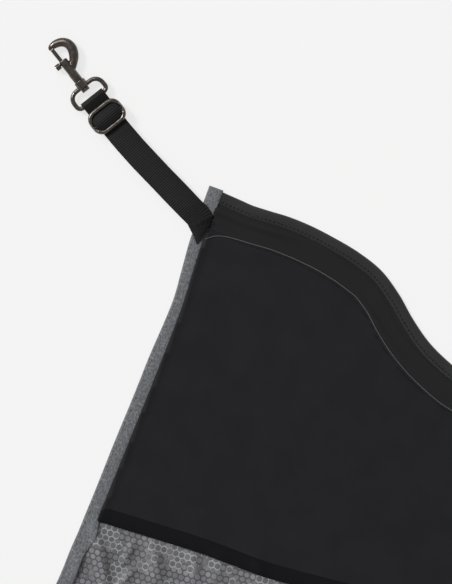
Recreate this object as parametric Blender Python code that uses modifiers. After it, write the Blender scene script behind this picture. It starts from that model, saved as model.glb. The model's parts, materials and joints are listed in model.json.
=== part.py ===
"""A fly sheet for a horse, laid out flat with its inner side up: two cloth halves that fold along the
spine, a chest strap with slider and bolt snap, a ring for the snap, and two belly surcingles.

Frame: +X runs back along the spine towards the tail, the spine is Y = 0, the horse's right half lies at
-Y and +Z is the side that faces the horse. Plan points are (x, out), where out is the distance from the
spine and x is measured from the withers. The finished sheet is centred over the origin, on Z = 0.
"""

import math

import bmesh
import bpy
from mathutils import Matrix, Vector

# Overall sizes
BACK_LENGTH = 1.45  # withers to rear hem, along the spine
HALF_WIDTH = 0.95  # spine to belly hem
FRONT_REACH = 0.50  # withers to the front corner, along the spine
FRONT_OUT = 0.47  # spine to the front corner
CLOSING_LOW = (0.134, 0.328)  # front corner to the low end of the closing edge, (back, out)
CLOSING_SLOPE = 0.40  # how far the edge below that runs back for each metre out

# Cloth
SHELL_THICKNESS = 0.0012
TRIM_THICKNESS = 0.0012
GAP = 0.0003  # running and seating gap between neighbouring pieces
BINDING_WIDTH = 0.009
FACING_WIDTH = 0.026
STRIP_WIDTH = 0.012
HEM_WIDTH = 0.020
LINING_ROLL_WIDTH = 0.0125
LINING_BACK = 0.25  # withers to the lining's rear edge, on the spine
SPINE_TAPE_WIDTH = 0.012
SPINE_TAPE_TAPER = 0.004
FRONT_CORNER_RADIUS = 0.08
REAR_CORNER_RADIUS = 0.25
CORNER_START = (-0.35, -0.87)  # of the front belly corner, in radii from its tip
CORNER_CENTRE = (0.60, -1.0)

# Webbing straps, doubled back around the bar of their fitting
WEBBING = 0.0015
BAR_RADIUS = 0.00225
STRAP_WIDTH = 0.025
STRAP_FROM_CORNER = 0.0315  # along the closing edge
STRAP_ANGLE = math.radians(173.5)  # heading of the strap's outer end
STRAP_LENGTH = 0.1477
STRAP_SIDESTEP = 0.0085  # from the sewn end to the line of the outer end
STRAP_BEND_START = 0.050
STRAP_BEND_END = 0.075
STRAP_TAIL = 0.100
RING_TAB_LENGTH = 0.030
RING_TAB_TAIL = 0.018
RING_TAB_FLARE = 0.009  # bar to where the two layers meet
SURCINGLE_WIDTH = 0.050
SURCINGLE_LENGTH = 0.60
SURCINGLE_TAIL = 0.20
SURCINGLE_PLACES = {"front": 0.42, "rear": 0.72}  # x of the sewn end
PLATE_TAB_LENGTH = 0.085
PLATE_TAB_TAIL = 0.022
TAB_FLARE = 0.012
HEM_CLEARANCE = 0.002  # hem to the fold of a surcingle
ANCHOR_LENGTH = 0.060
PATCH_LENGTH = 0.050
PATCH_WIDTH = 0.090

# Slider, for webbing of a given width
SLIDER_LENGTH = 0.0255
SLIDER_WIRE = 0.0022
SLIDER_CLEARANCE = 0.0011
SLIDER_BAR_RADIUS = 0.00105
SLIDER_FROM_BAR = 0.0204
SLIDER_CORNER = 0.0080

# Bolt snap, measured from the bar of its eye towards the tip of the hook
EYE_CLEARANCE = 0.0021
EYE_LENGTH = 0.016
EYE_CORNER = 0.0042  # at the feet, beside the bar
EYE_SHOULDER = 0.0085
COLLAR_RADIUS = 0.0054
COLLAR_START = EYE_LENGTH - BAR_RADIUS
COLLAR_LENGTH = 0.0084
COLLAR_END = COLLAR_START + COLLAR_LENGTH
SWIVEL_CLEARANCE = 0.0004
RIVET_RADIUS = 0.0026
RIVET_HEAD_RADIUS = 0.0040
RIVET_HEAD_LENGTH = 0.0028
PIN_DEPTH = 0.003  # of the rivet in the barrel
BARREL_RADIUS = 0.00435
BARREL_END = 0.0468
HOOK_FLATTEN = 0.86
BOLT_RADIUS = 0.0019
BOLT_OFFSET = 0.0014
BOLT_TIP = 0.0609
BOLT_LENGTH = 0.0212
BOLT_TRAVEL = 0.011
KNOB_AT = 0.0445
KNOB_RADIUS = 0.0030
KNOB_LENGTH = 0.0048
KNOB_STEM_RADIUS = 0.0011
BITE = 0.001  # how far a joined solid reaches into the next
OVERRUN = 0.010  # how far a cutter reaches past what it cuts

# Ring on the other side, and the flat fittings of the surcingles
RING_WIRE = 0.002
RING_DEPTH = 0.026
FITTING_THICKNESS = 0.0024
FITTING_BAR = 0.0032
FITTING_SLOT = 0.0050
FITTING_RIM = 0.0040
HOOK_NECK_WIDTH = 0.014
HOOK_NECK_LENGTH = 0.018
HOOK_HEAD_WIDTH = 0.034
HOOK_HEAD_LENGTH = 0.007
FITTING_CLEARANCE = 0.001  # webbing to each end of its slot
PLATE_SLOT_CLEARANCE = 0.002

# Heights, from the floor up
TRIM_BOTTOM = SHELL_THICKNESS + GAP
TRIM_TOP = TRIM_BOTTOM + TRIM_THICKNESS
LOOP_INNER = BAR_RADIUS + GAP
LOOP_OUTER = LOOP_INNER + WEBBING
FLOOR_CLEARANCE = 0.0004
AXIS_HEIGHT = max(COLLAR_RADIUS, LOOP_OUTER) + FLOOR_CLEARANCE  # every bar's centre line
MAIN_BOTTOM = AXIS_HEIGHT + GAP / 2
MAIN_TOP = MAIN_BOTTOM + WEBBING
TAIL_TOP = AXIS_HEIGHT - GAP / 2
TAIL_BOTTOM = TAIL_TOP - WEBBING
ANCHOR_BOTTOM = TRIM_TOP + GAP
ANCHOR_TOP = MAIN_BOTTOM - GAP

RIGHT, LEFT = -1, 1
UP = Vector((0, 0, 1))

for old in list(bpy.data.objects):
    bpy.data.objects.remove(old, do_unlink=True)

parts = bpy.data.collections.new("fly_sheet")
cutters = bpy.data.collections.new("cutters")
bpy.context.scene.collection.children.link(parts)
bpy.context.scene.collection.children.link(cutters)


def material(name, colour, roughness, metallic=0.0):
    made = bpy.data.materials.new(name)
    made.use_nodes = True
    shader = made.node_tree.nodes["Principled BSDF"]
    shader.inputs["Base Color"].default_value = (*colour, 1)
    shader.inputs["Roughness"].default_value = roughness
    shader.inputs["Metallic"].default_value = metallic
    return made


SHELL_CLOTH = material("shell_cloth", (0.19, 0.20, 0.205), 0.6)
LINING_CLOTH = material("lining_cloth", (0.019, 0.019, 0.021), 0.7)
FACING_CLOTH = material("facing_cloth", (0.024, 0.025, 0.025), 0.75)
BINDING_TAPE = material("binding_tape", (0.038, 0.039, 0.041), 0.75)
MELANGE_TAPE = material("melange_tape", (0.155, 0.165, 0.18), 0.85)
BLACK_WEBBING = material("black_webbing", (0.013, 0.013, 0.014), 0.6)
GUNMETAL = material("gunmetal", (0.09, 0.075, 0.065), 0.32, 1.0)


# Plan paths: lists of (x, out) that run clockwise round the cloth, which lies on their right hand


def smooth(points, steps):
    """A Catmull-Rom curve through points, with this many steps from one to the next."""
    points = [Vector(p) for p in points]
    ends = [2 * points[0] - points[1], *points, 2 * points[-1] - points[-2]]
    curve = []
    for a, b, c, d in zip(ends, ends[1:], ends[2:], ends[3:]):
        for k in range(steps):
            t = k / steps
            pull = (c - a) * t + (2 * a - 5 * b + 4 * c - d) * t**2 + (3 * b - a - 3 * c + d) * t**3
            curve.append(b + pull / 2)
    return [*curve, points[-1]]


def arc(centre, radius, start, end, steps):
    angles = [math.radians(start + (end - start) * k / steps) for k in range(steps + 1)]
    return [Vector(centre) + radius * Vector((math.cos(a), math.sin(a))) for a in angles]


def inset(path, distance):
    """The path moved to its right hand."""
    moved = []
    steps = [(end - start).normalized() for start, end in zip(path, path[1:])]
    for point, arriving, leaving in zip(path, [steps[0], *steps], [*steps, steps[-1]]):
        along = (arriving + leaving).normalized()
        sideways = Vector((along.y, -along.x))
        moved.append(point + sideways * distance / along.dot(arriving))
    return moved


def crossing(path, other):
    """(index of the path's step, point) where two paths first meet."""
    for k in range(len(path) - 1):
        for m in range(len(other) - 1):
            p, r = path[k], path[k + 1] - path[k]
            q, s = other[m], other[m + 1] - other[m]
            turn = r.cross(s)
            if abs(turn) < 1e-12:
                continue
            t, u = (q - p).cross(s) / turn, (q - p).cross(r) / turn
            if 0 <= t <= 1 and 0 <= u <= 1:
                return k, p + r * t
    raise ValueError("the two paths never meet")


PATH_REACH = 0.03


def before(path, other):
    k, point = crossing(path, other)
    return [*path[: k + 1], point]


def after(path, other):
    k, point = crossing(path, other)
    return [point, *path[k + 1 :]]


def between(path, first, last):
    """The stretch of a path from one line to another, which may lie a little beyond its ends."""
    return before(after(longer(path, PATH_REACH), first), last)


def longer(path, extra):
    """The path with its two ends lengthened along their own directions, or shortened."""
    start = path[0] + (path[0] - path[1]).normalized() * extra
    end = path[-1] + (path[-1] - path[-2]).normalized() * extra
    return [start, *path[1:-1], end]


def band(path, near, far):
    """The outline of a band that follows a path, between two distances from it."""
    return inset(path, near) + inset(path, far)[::-1]


def cut_band(path, near, far, first, last):
    """The same, between two lines that cut across it."""
    return between(inset(path, near), first, last) + between(inset(path, far), first, last)[::-1]


def corner_point(back, out):
    return Vector((back - FRONT_REACH, FRONT_OUT + out))


SPINE_HALF_GAP = GAP / 2
# Beside the spine, from well ahead of the sheet to well behind it
SPINE = [Vector((-1, SPINE_HALF_GAP)), Vector((BACK_LENGTH + 1, SPINE_HALF_GAP))]
# From beyond the withers, round the neck and out to the front corner
NECK = smooth(
    [
        (-0.020, -0.160),
        (0, 0),
        (-0.020, 0.160),
        (-0.062, 0.285),
        (-0.122, 0.376),
        (-0.190, 0.424),
        corner_point(0.238, -0.036),
        corner_point(0.158, -0.052),
        corner_point(0.082, -0.035),
        corner_point(0.028, -0.009),
        corner_point(-0.0005, -0.0012),
    ],
    3,
)
TIP = Vector((corner_point(*CLOSING_LOW).x, HALF_WIDTH))
TIP.x += (TIP.y - corner_point(*CLOSING_LOW).y) * CLOSING_SLOPE


def from_tip(radii):
    """A point of the rounded front belly corner, given in corner radii from its tip."""
    return TIP + Vector(radii) * FRONT_CORNER_RADIUS


# Down the edge that the chest strap closes
CLOSING = [
    *smooth(
        [
            corner_point(-0.0118, 0.0037),
            corner_point(0.011, 0.052),
            corner_point(0.040, 0.104),
            corner_point(0.063, 0.160),
            corner_point(*CLOSING_LOW),
        ],
        2,
    ),
    from_tip(CORNER_START),
]
BELLY = [
    CLOSING[-1],
    *arc(from_tip(CORNER_CENTRE), FRONT_CORNER_RADIUS, 150, 90, 4),
    *arc(
        (BACK_LENGTH - REAR_CORNER_RADIUS, HALF_WIDTH - REAR_CORNER_RADIUS),
        REAR_CORNER_RADIUS, 90, 0, 8,
    ),
    Vector((BACK_LENGTH, HALF_WIDTH - REAR_CORNER_RADIUS - HEM_WIDTH)),
]
REAR = [BELLY[-1], Vector((BACK_LENGTH, SPINE_HALF_GAP))]
# The lining's free edge, from beyond the closing strip to beyond the spine
LINING_EDGE = smooth(
    [
        corner_point(0.105, 0.316),
        corner_point(0.137, 0.300),
        corner_point(0.225, 0.254),
        corner_point(0.307, 0.214),
        (LINING_BACK - 0.29, 0.585),
        (LINING_BACK - 0.12, 0.43),
        (LINING_BACK - 0.03, 0.22),
        (LINING_BACK, 0),
        (LINING_BACK - 0.03, -0.22),
    ],
    3,
)


# Making solids


def place(obj, parent, collection=parts):
    collection.objects.link(obj)
    obj.parent = parent
    return obj


def empty(name, location, angle=0.0, parent=None):
    """A joint's own frame: its origin on the joint's axis, its X along the strap."""
    made = place(bpy.data.objects.new(name, None), parent)
    made.location = location
    made.rotation_euler = (0, 0, angle)
    made.empty_display_size = 0.02
    return made


def flat_curve(name, outlines, thickness):
    data = bpy.data.curves.new(name, "CURVE")
    data.dimensions = "2D"
    data.fill_mode = "BOTH"
    data.extrude = thickness / 2
    for outline in outlines:
        spline = data.splines.new("POLY")
        spline.points.add(len(outline) - 1)
        spline.use_cyclic_u = True
        for point, (x, y) in zip(spline.points, outline):
            point.co = (x, y, 0, 1)
    return bpy.data.objects.new(name, data)


def plate(name, outlines, bottom, top, look, parent):
    """A flat piece cut to an outline; any more outlines are holes in it."""
    made = place(flat_curve(name, outlines, top - bottom), parent)
    made.location = (0, 0, (bottom + top) / 2)
    made.data.materials.append(look)
    return made


def cloth(name, side, outline, look, bottom=TRIM_BOTTOM, top=TRIM_TOP):
    points = [(x, side * out) for x, out in outline]
    suffix = "right" if side == RIGHT else "left"
    return plate(f"{name}_{suffix}", [points], bottom, top, look, sheet[side])


def rectangle(start, end, half_width):
    return [(start, -half_width), (end, -half_width), (end, half_width), (start, half_width)]


def as_mesh(made):
    """The curve object turned into a mesh object of the same name, its caps welded."""
    bpy.context.view_layer.update()
    evaluated = made.evaluated_get(bpy.context.evaluated_depsgraph_get())
    data = bpy.data.meshes.new_from_object(evaluated)
    mesh = bmesh.new()
    mesh.from_mesh(data)
    bmesh.ops.remove_doubles(mesh, verts=mesh.verts, dist=1e-6)
    bmesh.ops.recalc_face_normals(mesh, faces=mesh.faces)
    mesh.to_mesh(data)
    mesh.free()
    name, parent, matrix = made.name, made.parent, made.matrix_world.copy()
    bpy.data.objects.remove(made, do_unlink=True)
    converted = place(bpy.data.objects.new(name, data), parent)
    converted.matrix_world = matrix
    return converted


def wire(name, points, radius, look, parent, closed=False, radii=None, sides=4):
    """Round wire along a 3D path; radii scale its radius from point to point."""
    data = bpy.data.curves.new(name, "CURVE")
    data.dimensions = "3D"
    data.bevel_depth = radius
    data.bevel_resolution = sides
    data.use_fill_caps = not closed
    data.materials.append(look)
    spline = data.splines.new("POLY")
    spline.points.add(len(points) - 1)
    spline.use_cyclic_u = closed
    for k, point in enumerate(points):
        spline.points[k].co = (*point, 1)
        spline.points[k].radius = radii[k] if radii else 1
    return as_mesh(place(bpy.data.objects.new(name, data), parent))


def rod(name, start, end, radius, parent, look=None, segments=20):
    """A cylinder between two points."""
    start, end = Vector(start), Vector(end)
    length = (end - start).length
    mesh = bmesh.new()
    bmesh.ops.create_cone(
        mesh, cap_ends=True, segments=segments, radius1=radius, radius2=radius, depth=length
    )
    turn = UP.rotation_difference(end - start).to_matrix().to_4x4()
    bmesh.ops.transform(mesh, matrix=Matrix.Translation((start + end) / 2) @ turn, verts=mesh.verts)
    data = bpy.data.meshes.new(name)
    mesh.to_mesh(data)
    mesh.free()
    if look:
        data.materials.append(look)
    return place(bpy.data.objects.new(name, data), parent, parts if look else cutters)


def combine(body, tool, operation):
    """Joins a tool to a body, or cuts it away; the tool itself stays out of the renders."""
    if tool.name in parts.objects:
        parts.objects.unlink(tool)
        cutters.objects.link(tool)
    tool.hide_render = True
    tool.display_type = "WIRE"
    change = body.modifiers.new(f"{operation.lower()}_{tool.name}", "BOOLEAN")
    change.operation = operation
    change.solver = "EXACT"
    change.object = tool


def smooth_shaded(made):
    made.data.shade_smooth()
    made.data.set_sharp_from_angle(angle=math.radians(40))
    return made


def rounded_frame(start, end, half_width, corner, far_corner, steps):
    """Closed path round a rectangle with round corners, in the X-Y plane."""
    near, far = start + corner, end - far_corner
    return [
        *arc((far, half_width - far_corner), far_corner, 90, 0, steps),
        *arc((far, far_corner - half_width), far_corner, 0, -90, steps),
        *arc((near, corner - half_width), corner, -90, -180, steps),
        *arc((near, half_width - corner), corner, 180, 90, steps),
    ]


def doubled_strap(name, length, tail, width, flare, parent):
    """Webbing that runs out, round a bar at X = length, and back beneath itself."""
    upper, lower = (MAIN_BOTTOM + MAIN_TOP) / 2, (TAIL_BOTTOM + TAIL_TOP) / 2
    radius = (LOOP_INNER + LOOP_OUTER) / 2
    rise = upper - AXIS_HEIGHT
    tangent = math.atan2(rise, -flare) - math.acos(radius / math.hypot(flare, rise))
    turn = arc((length, AXIS_HEIGHT), radius, math.degrees(tangent), -math.degrees(tangent), 12)
    step = (length - flare) / 16
    stations = [step * k for k in range(17)]
    under = [x for x in stations if x > length - tail + step / 4]
    path = [(x, upper) for x in stations] + turn
    path += [(x, lower) for x in [*under[::-1], length - tail]]
    mesh = bmesh.new()
    rungs = [[mesh.verts.new((x, y, z)) for y in (-width / 2, width / 2)] for x, z in path]
    for (a, b), (c, d) in zip(rungs, rungs[1:]):
        mesh.faces.new((a, c, d, b))
    data = bpy.data.meshes.new(name)
    mesh.to_mesh(data)
    mesh.free()
    data.materials.append(BLACK_WEBBING)
    made = place(bpy.data.objects.new(name, data), parent)
    thicken = made.modifiers.new("webbing", "SOLIDIFY")
    thicken.thickness = WEBBING
    thicken.offset = 0
    thicken.use_even_offset = True
    return made


def slider(name, width, parent):
    """A wire slider, centred on its frame's origin: end bars over the webbing, middle bar under it."""
    half_length = SLIDER_LENGTH / 2 - SLIDER_WIRE
    half_width = width / 2 + SLIDER_CLEARANCE + SLIDER_WIRE
    high = MAIN_TOP + GAP + SLIDER_WIRE
    low = TRIM_BOTTOM + SLIDER_WIRE
    bar_height = TAIL_BOTTOM - GAP - SLIDER_BAR_RADIUS
    outline = rounded_frame(
        -half_length, half_length, half_width, SLIDER_CORNER, SLIDER_CORNER, 6
    )
    straight = (half_length - SLIDER_CORNER) / 2
    outline += [Vector((straight * k, half_width * s)) for k in (-1, 0, 1) for s in (-1, 1)]
    outline.sort(key=lambda p: math.atan2(p.y, p.x))
    dip = half_length - SLIDER_CORNER / 2
    rise = [min(1, abs(x) / dip) for x, _ in outline]
    path = [(x, y, low + (high - low) * t * t * (3 - 2 * t)) for (x, y), t in zip(outline, rise)]
    frame = wire(name, path, SLIDER_WIRE, GUNMETAL, parent, closed=True)
    bar_ends = [(0, s * half_width, bar_height) for s in (-1, 1)]
    combine(frame, rod(f"{name}_bar", *bar_ends, SLIDER_BAR_RADIUS, parent, segments=16), "UNION")
    return smooth_shaded(frame)


# The two halves of the sheet

sheet = {
    RIGHT: empty("sheet_right_frame", (0, 0, 0)),
    LEFT: empty("spine_fold_axis", (0, 0, 0)),
}
STRIP_LINE = longer(inset(CLOSING, STRIP_WIDTH + GAP), 0.02)
FACING_END = BINDING_WIDTH + GAP + FACING_WIDTH
LINING_TOP = inset(NECK, FACING_END + GAP)
LINING_END = inset(LINING_EDGE, LINING_ROLL_WIDTH + GAP)

for side in (RIGHT, LEFT):
    shell = after(NECK, SPINE) + CLOSING + BELLY[1:] + REAR[1:]
    cloth("shell", side, shell, SHELL_CLOTH, 0, SHELL_THICKNESS)
    cloth("closing_strip", side, band(longer(CLOSING, -GAP), 0, STRIP_WIDTH), MELANGE_TAPE)
    cloth("belly_hem", side, band(longer(BELLY, -GAP), 0, HEM_WIDTH), BINDING_TAPE)
    cloth("rear_hem", side, band([REAR[0] - Vector((0, GAP)), REAR[1]], 0, HEM_WIDTH), BINDING_TAPE)
    binding = cut_band(NECK, 0, BINDING_WIDTH, SPINE, STRIP_LINE)
    cloth("neck_binding", side, binding, BINDING_TAPE)
    facing = cut_band(NECK, BINDING_WIDTH + GAP, FACING_END, SPINE, STRIP_LINE)
    cloth("neck_facing", side, facing, FACING_CLOTH)
    roll = cut_band(LINING_EDGE, 0, LINING_ROLL_WIDTH, STRIP_LINE, SPINE)
    cloth("lining_roll", side, roll, LINING_CLOTH)
    lining_front = before(
        after(STRIP_LINE, longer(LINING_TOP, PATH_REACH)), longer(LINING_END, PATH_REACH)
    )
    lining = between(LINING_TOP, SPINE, STRIP_LINE) + lining_front[1:]
    lining += between(LINING_END, STRIP_LINE, SPINE)[1:]
    cloth("lining", side, lining, LINING_CLOTH)
    tape_front = LINING_BACK + GAP
    tape_back = BACK_LENGTH - HEM_WIDTH - GAP
    tape = [(tape_front, SPINE_HALF_GAP), (tape_back, SPINE_HALF_GAP)]
    tape += [(tape_back, SPINE_TAPE_WIDTH), (tape_front + SPINE_TAPE_TAPER, SPINE_TAPE_WIDTH)]
    cloth("spine_tape", side, tape, BINDING_TAPE)


# The chest closure


def along_closing(distance):
    """(point, unit direction) at a distance down the closing edge from the front corner."""
    for start, end in zip(CLOSING, CLOSING[1:]):
        step = (end - start).length
        if distance <= step:
            return start + (end - start) * distance / step, (end - start) / step
        distance -= step
    raise ValueError("the distance runs past the closing edge")


EDGE_POINT, EDGE_HEADING = along_closing(STRAP_FROM_CORNER)


def bend_strap(made, heading):
    """Swings the sewn end aside in plan and cuts it along the closing edge."""
    edge = Vector((EDGE_HEADING.x, -EDGE_HEADING.y))
    across = Vector((-heading.y, heading.x))
    skew = edge.dot(heading) / edge.dot(across)
    turn = STRAP_BEND_END - STRAP_BEND_START
    slope = STRAP_SIDESTEP / ((STRAP_BEND_START + STRAP_BEND_END) / 2)
    for vertex in made.data.vertices:
        x, y, height = vertex.co
        x += max(0, 1 - x / STRAP_BEND_START) * skew * y
        rest = max(0, STRAP_BEND_END - x)
        in_turn = min(rest, turn)
        sidestep = STRAP_SIDESTEP - slope * (in_turn**2 / (2 * turn) + rest - in_turn)
        vertex.co = (x, y + sidestep, height)


def strap_anchor(name, side, centre, heading, width, length):
    """The folded end of a strap, sewn down over the closing strip between its edge and the lining."""
    edge = Vector(EDGE_HEADING)
    inward = Vector((edge.y, -edge.x))
    along = Vector((-heading.x, heading.y * side))
    half = edge * (width / 2) / abs(along.cross(edge))
    start = centre + inward * GAP
    reach = along * (length / along.dot(inward))
    corners = [start + half, start - half, start - half + reach, start + half + reach]
    cloth(name, side, corners, BLACK_WEBBING, ANCHOR_BOTTOM, ANCHOR_TOP)


heading = Vector((math.cos(STRAP_ANGLE), math.sin(STRAP_ANGLE)))
strap_frame = empty("chest_strap_hinge", (EDGE_POINT.x, -EDGE_POINT.y, 0), STRAP_ANGLE)
FLARE = SLIDER_FROM_BAR - SLIDER_LENGTH / 2
chest_strap = doubled_strap(
    "chest_strap", STRAP_LENGTH, STRAP_TAIL, STRAP_WIDTH, FLARE, strap_frame
)
bend_strap(chest_strap, heading)
strap_anchor("chest_anchor", RIGHT, EDGE_POINT, heading, STRAP_WIDTH, STRIP_WIDTH - 2 * GAP)

slider_spot = (STRAP_LENGTH - SLIDER_FROM_BAR, STRAP_SIDESTEP, 0)
slider_frame = empty("chest_slider_track", slider_spot, 0, strap_frame)
slider("chest_slider", STRAP_WIDTH, slider_frame)

eye_frame = empty("snap_eye_axis", (STRAP_LENGTH, STRAP_SIDESTEP, AXIS_HEIGHT), 0, strap_frame)
eye_half = STRAP_WIDTH / 2 + EYE_CLEARANCE + BAR_RADIUS
eye_outline = rounded_frame(0, EYE_LENGTH, eye_half, EYE_CORNER, EYE_SHOULDER, 6)
eye_path = [(x, y, 0) for x, y in eye_outline]
snap_eye = wire("snap_eye", eye_path, BAR_RADIUS, GUNMETAL, eye_frame, closed=True)
collar_ends = [(COLLAR_START, 0, 0), (COLLAR_END, 0, 0)]
combine(snap_eye, rod("collar", *collar_ends, COLLAR_RADIUS, eye_frame, segments=28), "UNION")
bore_ends = [(COLLAR_START - OVERRUN, 0, 0), (COLLAR_END + OVERRUN, 0, 0)]
collar_bore = RIVET_RADIUS + SWIVEL_CLEARANCE
combine(snap_eye, rod("collar_bore", *bore_ends, collar_bore, eye_frame), "DIFFERENCE")
smooth_shaded(snap_eye)

hook_frame = empty("snap_swivel_axis", (0, 0, 0), 0, eye_frame)
BARREL_START = COLLAR_END + GAP
PIN_END = BARREL_START + PIN_DEPTH
head_end = COLLAR_START - GAP
pin_ends = [(head_end - BITE, 0, 0), (PIN_END, 0, 0)]
rivet = rod("swivel_rivet", *pin_ends, RIVET_RADIUS, hook_frame, GUNMETAL)
head_ends = [(head_end - RIVET_HEAD_LENGTH, 0, 0), (head_end, 0, 0)]
head = rod("rivet_head", *head_ends, RIVET_HEAD_RADIUS, hook_frame)
combine(rivet, head, "UNION")
smooth_shaded(rivet)

# Hook bow, in millimetres: distance along the snap, distance to the closed side, radius of the wire
BOW = [
    (33.5, 1.0, 2.6),
    (38.0, 5.8, 3.8),
    (43.5, 10.9, 4.6),
    (50.0, 14.0, 4.8),
    (56.3, 13.7, 4.6),
    (60.9, 10.0, 4.3),
    (63.0, 4.8, 3.9),
    (63.2, 0.9, 3.4),
    (62.7, -1.4, 2.7),
    (61.4, -1.4, 2.3),
]
bow = smooth([(x / 1000, y / 1000, r / 1000) for x, y, r in BOW], 3)
bow_path = [(x, -y, 0) for x, y, _ in bow]
snap_hook = wire("snap_hook", bow_path, 1, GUNMETAL, hook_frame, radii=[p.z for p in bow])
for vertex in snap_hook.data.vertices:
    vertex.co.z *= HOOK_FLATTEN
barrel_ends = [(BARREL_START, 0, 0), (BARREL_END, 0, 0)]
barrel = rod("barrel", *barrel_ends, BARREL_RADIUS, hook_frame, segments=28)
combine(snap_hook, barrel, "UNION")
BOLT_BACK = BOLT_TIP - BOLT_LENGTH
bolt_bore = rod(
    "bolt_bore", (BOLT_BACK - BOLT_TRAVEL - GAP, BOLT_OFFSET, 0), (BOLT_TIP + GAP, BOLT_OFFSET, 0),
    BOLT_RADIUS + GAP, hook_frame,
)
combine(snap_hook, bolt_bore, "DIFFERENCE")
slot_half = KNOB_STEM_RADIUS + GAP
slot_start, slot_end = KNOB_AT - BOLT_TRAVEL - slot_half, KNOB_AT + slot_half
slot_outline = [(x, y) for x in (slot_start, slot_end) for y in (BOLT_OFFSET, OVERRUN)]
slot_outline = [slot_outline[k] for k in (0, 2, 3, 1)]
slot = plate("knob_slot", [slot_outline], -slot_half, slot_half, GUNMETAL, hook_frame)
combine(snap_hook, as_mesh(slot), "DIFFERENCE")
pin_bore_ends = [(BARREL_START - OVERRUN, 0, 0), (PIN_END + GAP, 0, 0)]
pin_bore = rod("pin_bore", *pin_bore_ends, RIVET_RADIUS + GAP, hook_frame)
combine(snap_hook, pin_bore, "DIFFERENCE")
smooth_shaded(snap_hook)

bolt_frame = empty("snap_bolt_track", (0, BOLT_OFFSET, 0), 0, hook_frame)
snap_bolt = rod("snap_bolt", (BOLT_BACK, 0, 0), (BOLT_TIP, 0, 0), BOLT_RADIUS, bolt_frame, GUNMETAL)
knob_base = BARREL_RADIUS + GAP - BOLT_OFFSET
stem_ends = [(KNOB_AT, 0, 0), (KNOB_AT, knob_base + BITE, 0)]
stem = rod("knob_stem", *stem_ends, KNOB_STEM_RADIUS, bolt_frame)
combine(snap_bolt, stem, "UNION")
knob_ends = [(KNOB_AT, knob_base, 0), (KNOB_AT, knob_base + KNOB_LENGTH, 0)]
combine(snap_bolt, rod("knob", *knob_ends, KNOB_RADIUS, bolt_frame, segments=24), "UNION")
smooth_shaded(snap_bolt)

# The ring that the snap closes on, at the other front corner
tab_frame = empty("ring_tab_frame", (EDGE_POINT.x, EDGE_POINT.y, 0), -STRAP_ANGLE, sheet[LEFT])
doubled_strap("ring_tab", RING_TAB_LENGTH, RING_TAB_TAIL, STRAP_WIDTH, RING_TAB_FLARE, tab_frame)
strap_anchor("ring_anchor", LEFT, EDGE_POINT, heading, STRAP_WIDTH, STRIP_WIDTH - 2 * GAP)
ring_frame = empty("chest_ring_axis", (RING_TAB_LENGTH, 0, AXIS_HEIGHT), 0, tab_frame)
ring_half = STRAP_WIDTH / 2 + EYE_CLEARANCE
bow_half = [
    (RING_DEPTH * math.sin(math.radians(a)) ** 0.8, ring_half * math.cos(math.radians(a)), 0)
    for a in range(15, 180, 15)
]
ring_path = [(0, -ring_half, 0), (0, 0, 0), (0, ring_half, 0), *bow_half]
smooth_shaded(wire("chest_ring", ring_path, RING_WIRE, GUNMETAL, ring_frame, closed=True))


# The belly surcingles: straps on the right half, their slotted plates on the left


fitting_half = SURCINGLE_WIDTH / 2 + FITTING_CLEARANCE
webbing_slot = rectangle(FITTING_BAR / 2, FITTING_BAR / 2 + FITTING_SLOT, fitting_half)
rim_end = FITTING_BAR / 2 + FITTING_SLOT + FITTING_RIM
outer_half = fitting_half + FITTING_RIM
neck_end = rim_end + HOOK_NECK_LENGTH
head_end_x = neck_end + HOOK_HEAD_LENGTH
hook_side = [
    (-FITTING_BAR / 2, outer_half),
    (rim_end, outer_half),
    (rim_end, HOOK_NECK_WIDTH / 2),
    (neck_end, HOOK_NECK_WIDTH / 2),
    (neck_end, HOOK_HEAD_WIDTH / 2),
    (head_end_x, HOOK_HEAD_WIDTH / 2),
]
T_HOOK = hook_side + [(x, -y) for x, y in hook_side[::-1]]
slot_length = HOOK_HEAD_LENGTH + 2 * PLATE_SLOT_CLEARANCE
HOOK_SLOT = rectangle(rim_end, rim_end + slot_length, HOOK_HEAD_WIDTH / 2 + PLATE_SLOT_CLEARANCE)
SLOT_PLATE = rectangle(-FITTING_BAR / 2, rim_end + slot_length + FITTING_RIM, outer_half)


def surcingle(name, side, x, length, tail, flare):
    """A belly strap folded in over the cloth at the hem, with its sewn end and patch; its frame."""
    suffix = "right" if side == RIGHT else "left"
    patch_out = HALF_WIDTH - HEM_WIDTH - GAP
    patch = rectangle(patch_out - PATCH_LENGTH, patch_out, PATCH_WIDTH / 2)
    cloth(f"surcingle_patch_{name}", side, [(x + b, a) for a, b in patch], FACING_CLOTH)
    hinge = (x, side * (HALF_WIDTH + HEM_CLEARANCE), 0)
    hem = empty(f"surcingle_{name}_{suffix}_hinge", hinge, -side * math.pi / 2, sheet[side])
    sewn = rectangle(2 * HEM_CLEARANCE, ANCHOR_LENGTH, SURCINGLE_WIDTH / 2)
    anchor_name = f"surcingle_anchor_{name}_{suffix}"
    plate(anchor_name, [sewn], ANCHOR_BOTTOM, ANCHOR_TOP, BLACK_WEBBING, hem)
    strap_name = f"surcingle_{'strap' if side == RIGHT else 'tab'}_{name}"
    doubled_strap(strap_name, length, tail, SURCINGLE_WIDTH, flare, hem)
    return hem


def fitting(name, outlines, length, parent):
    """A flat metal fitting that turns on its bar in the strap's loop."""
    axis = empty(f"{name}_axis", (length, 0, AXIS_HEIGHT), 0, parent)
    half = FITTING_THICKNESS / 2
    plate(name, outlines, -half, half, GUNMETAL, axis)


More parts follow.
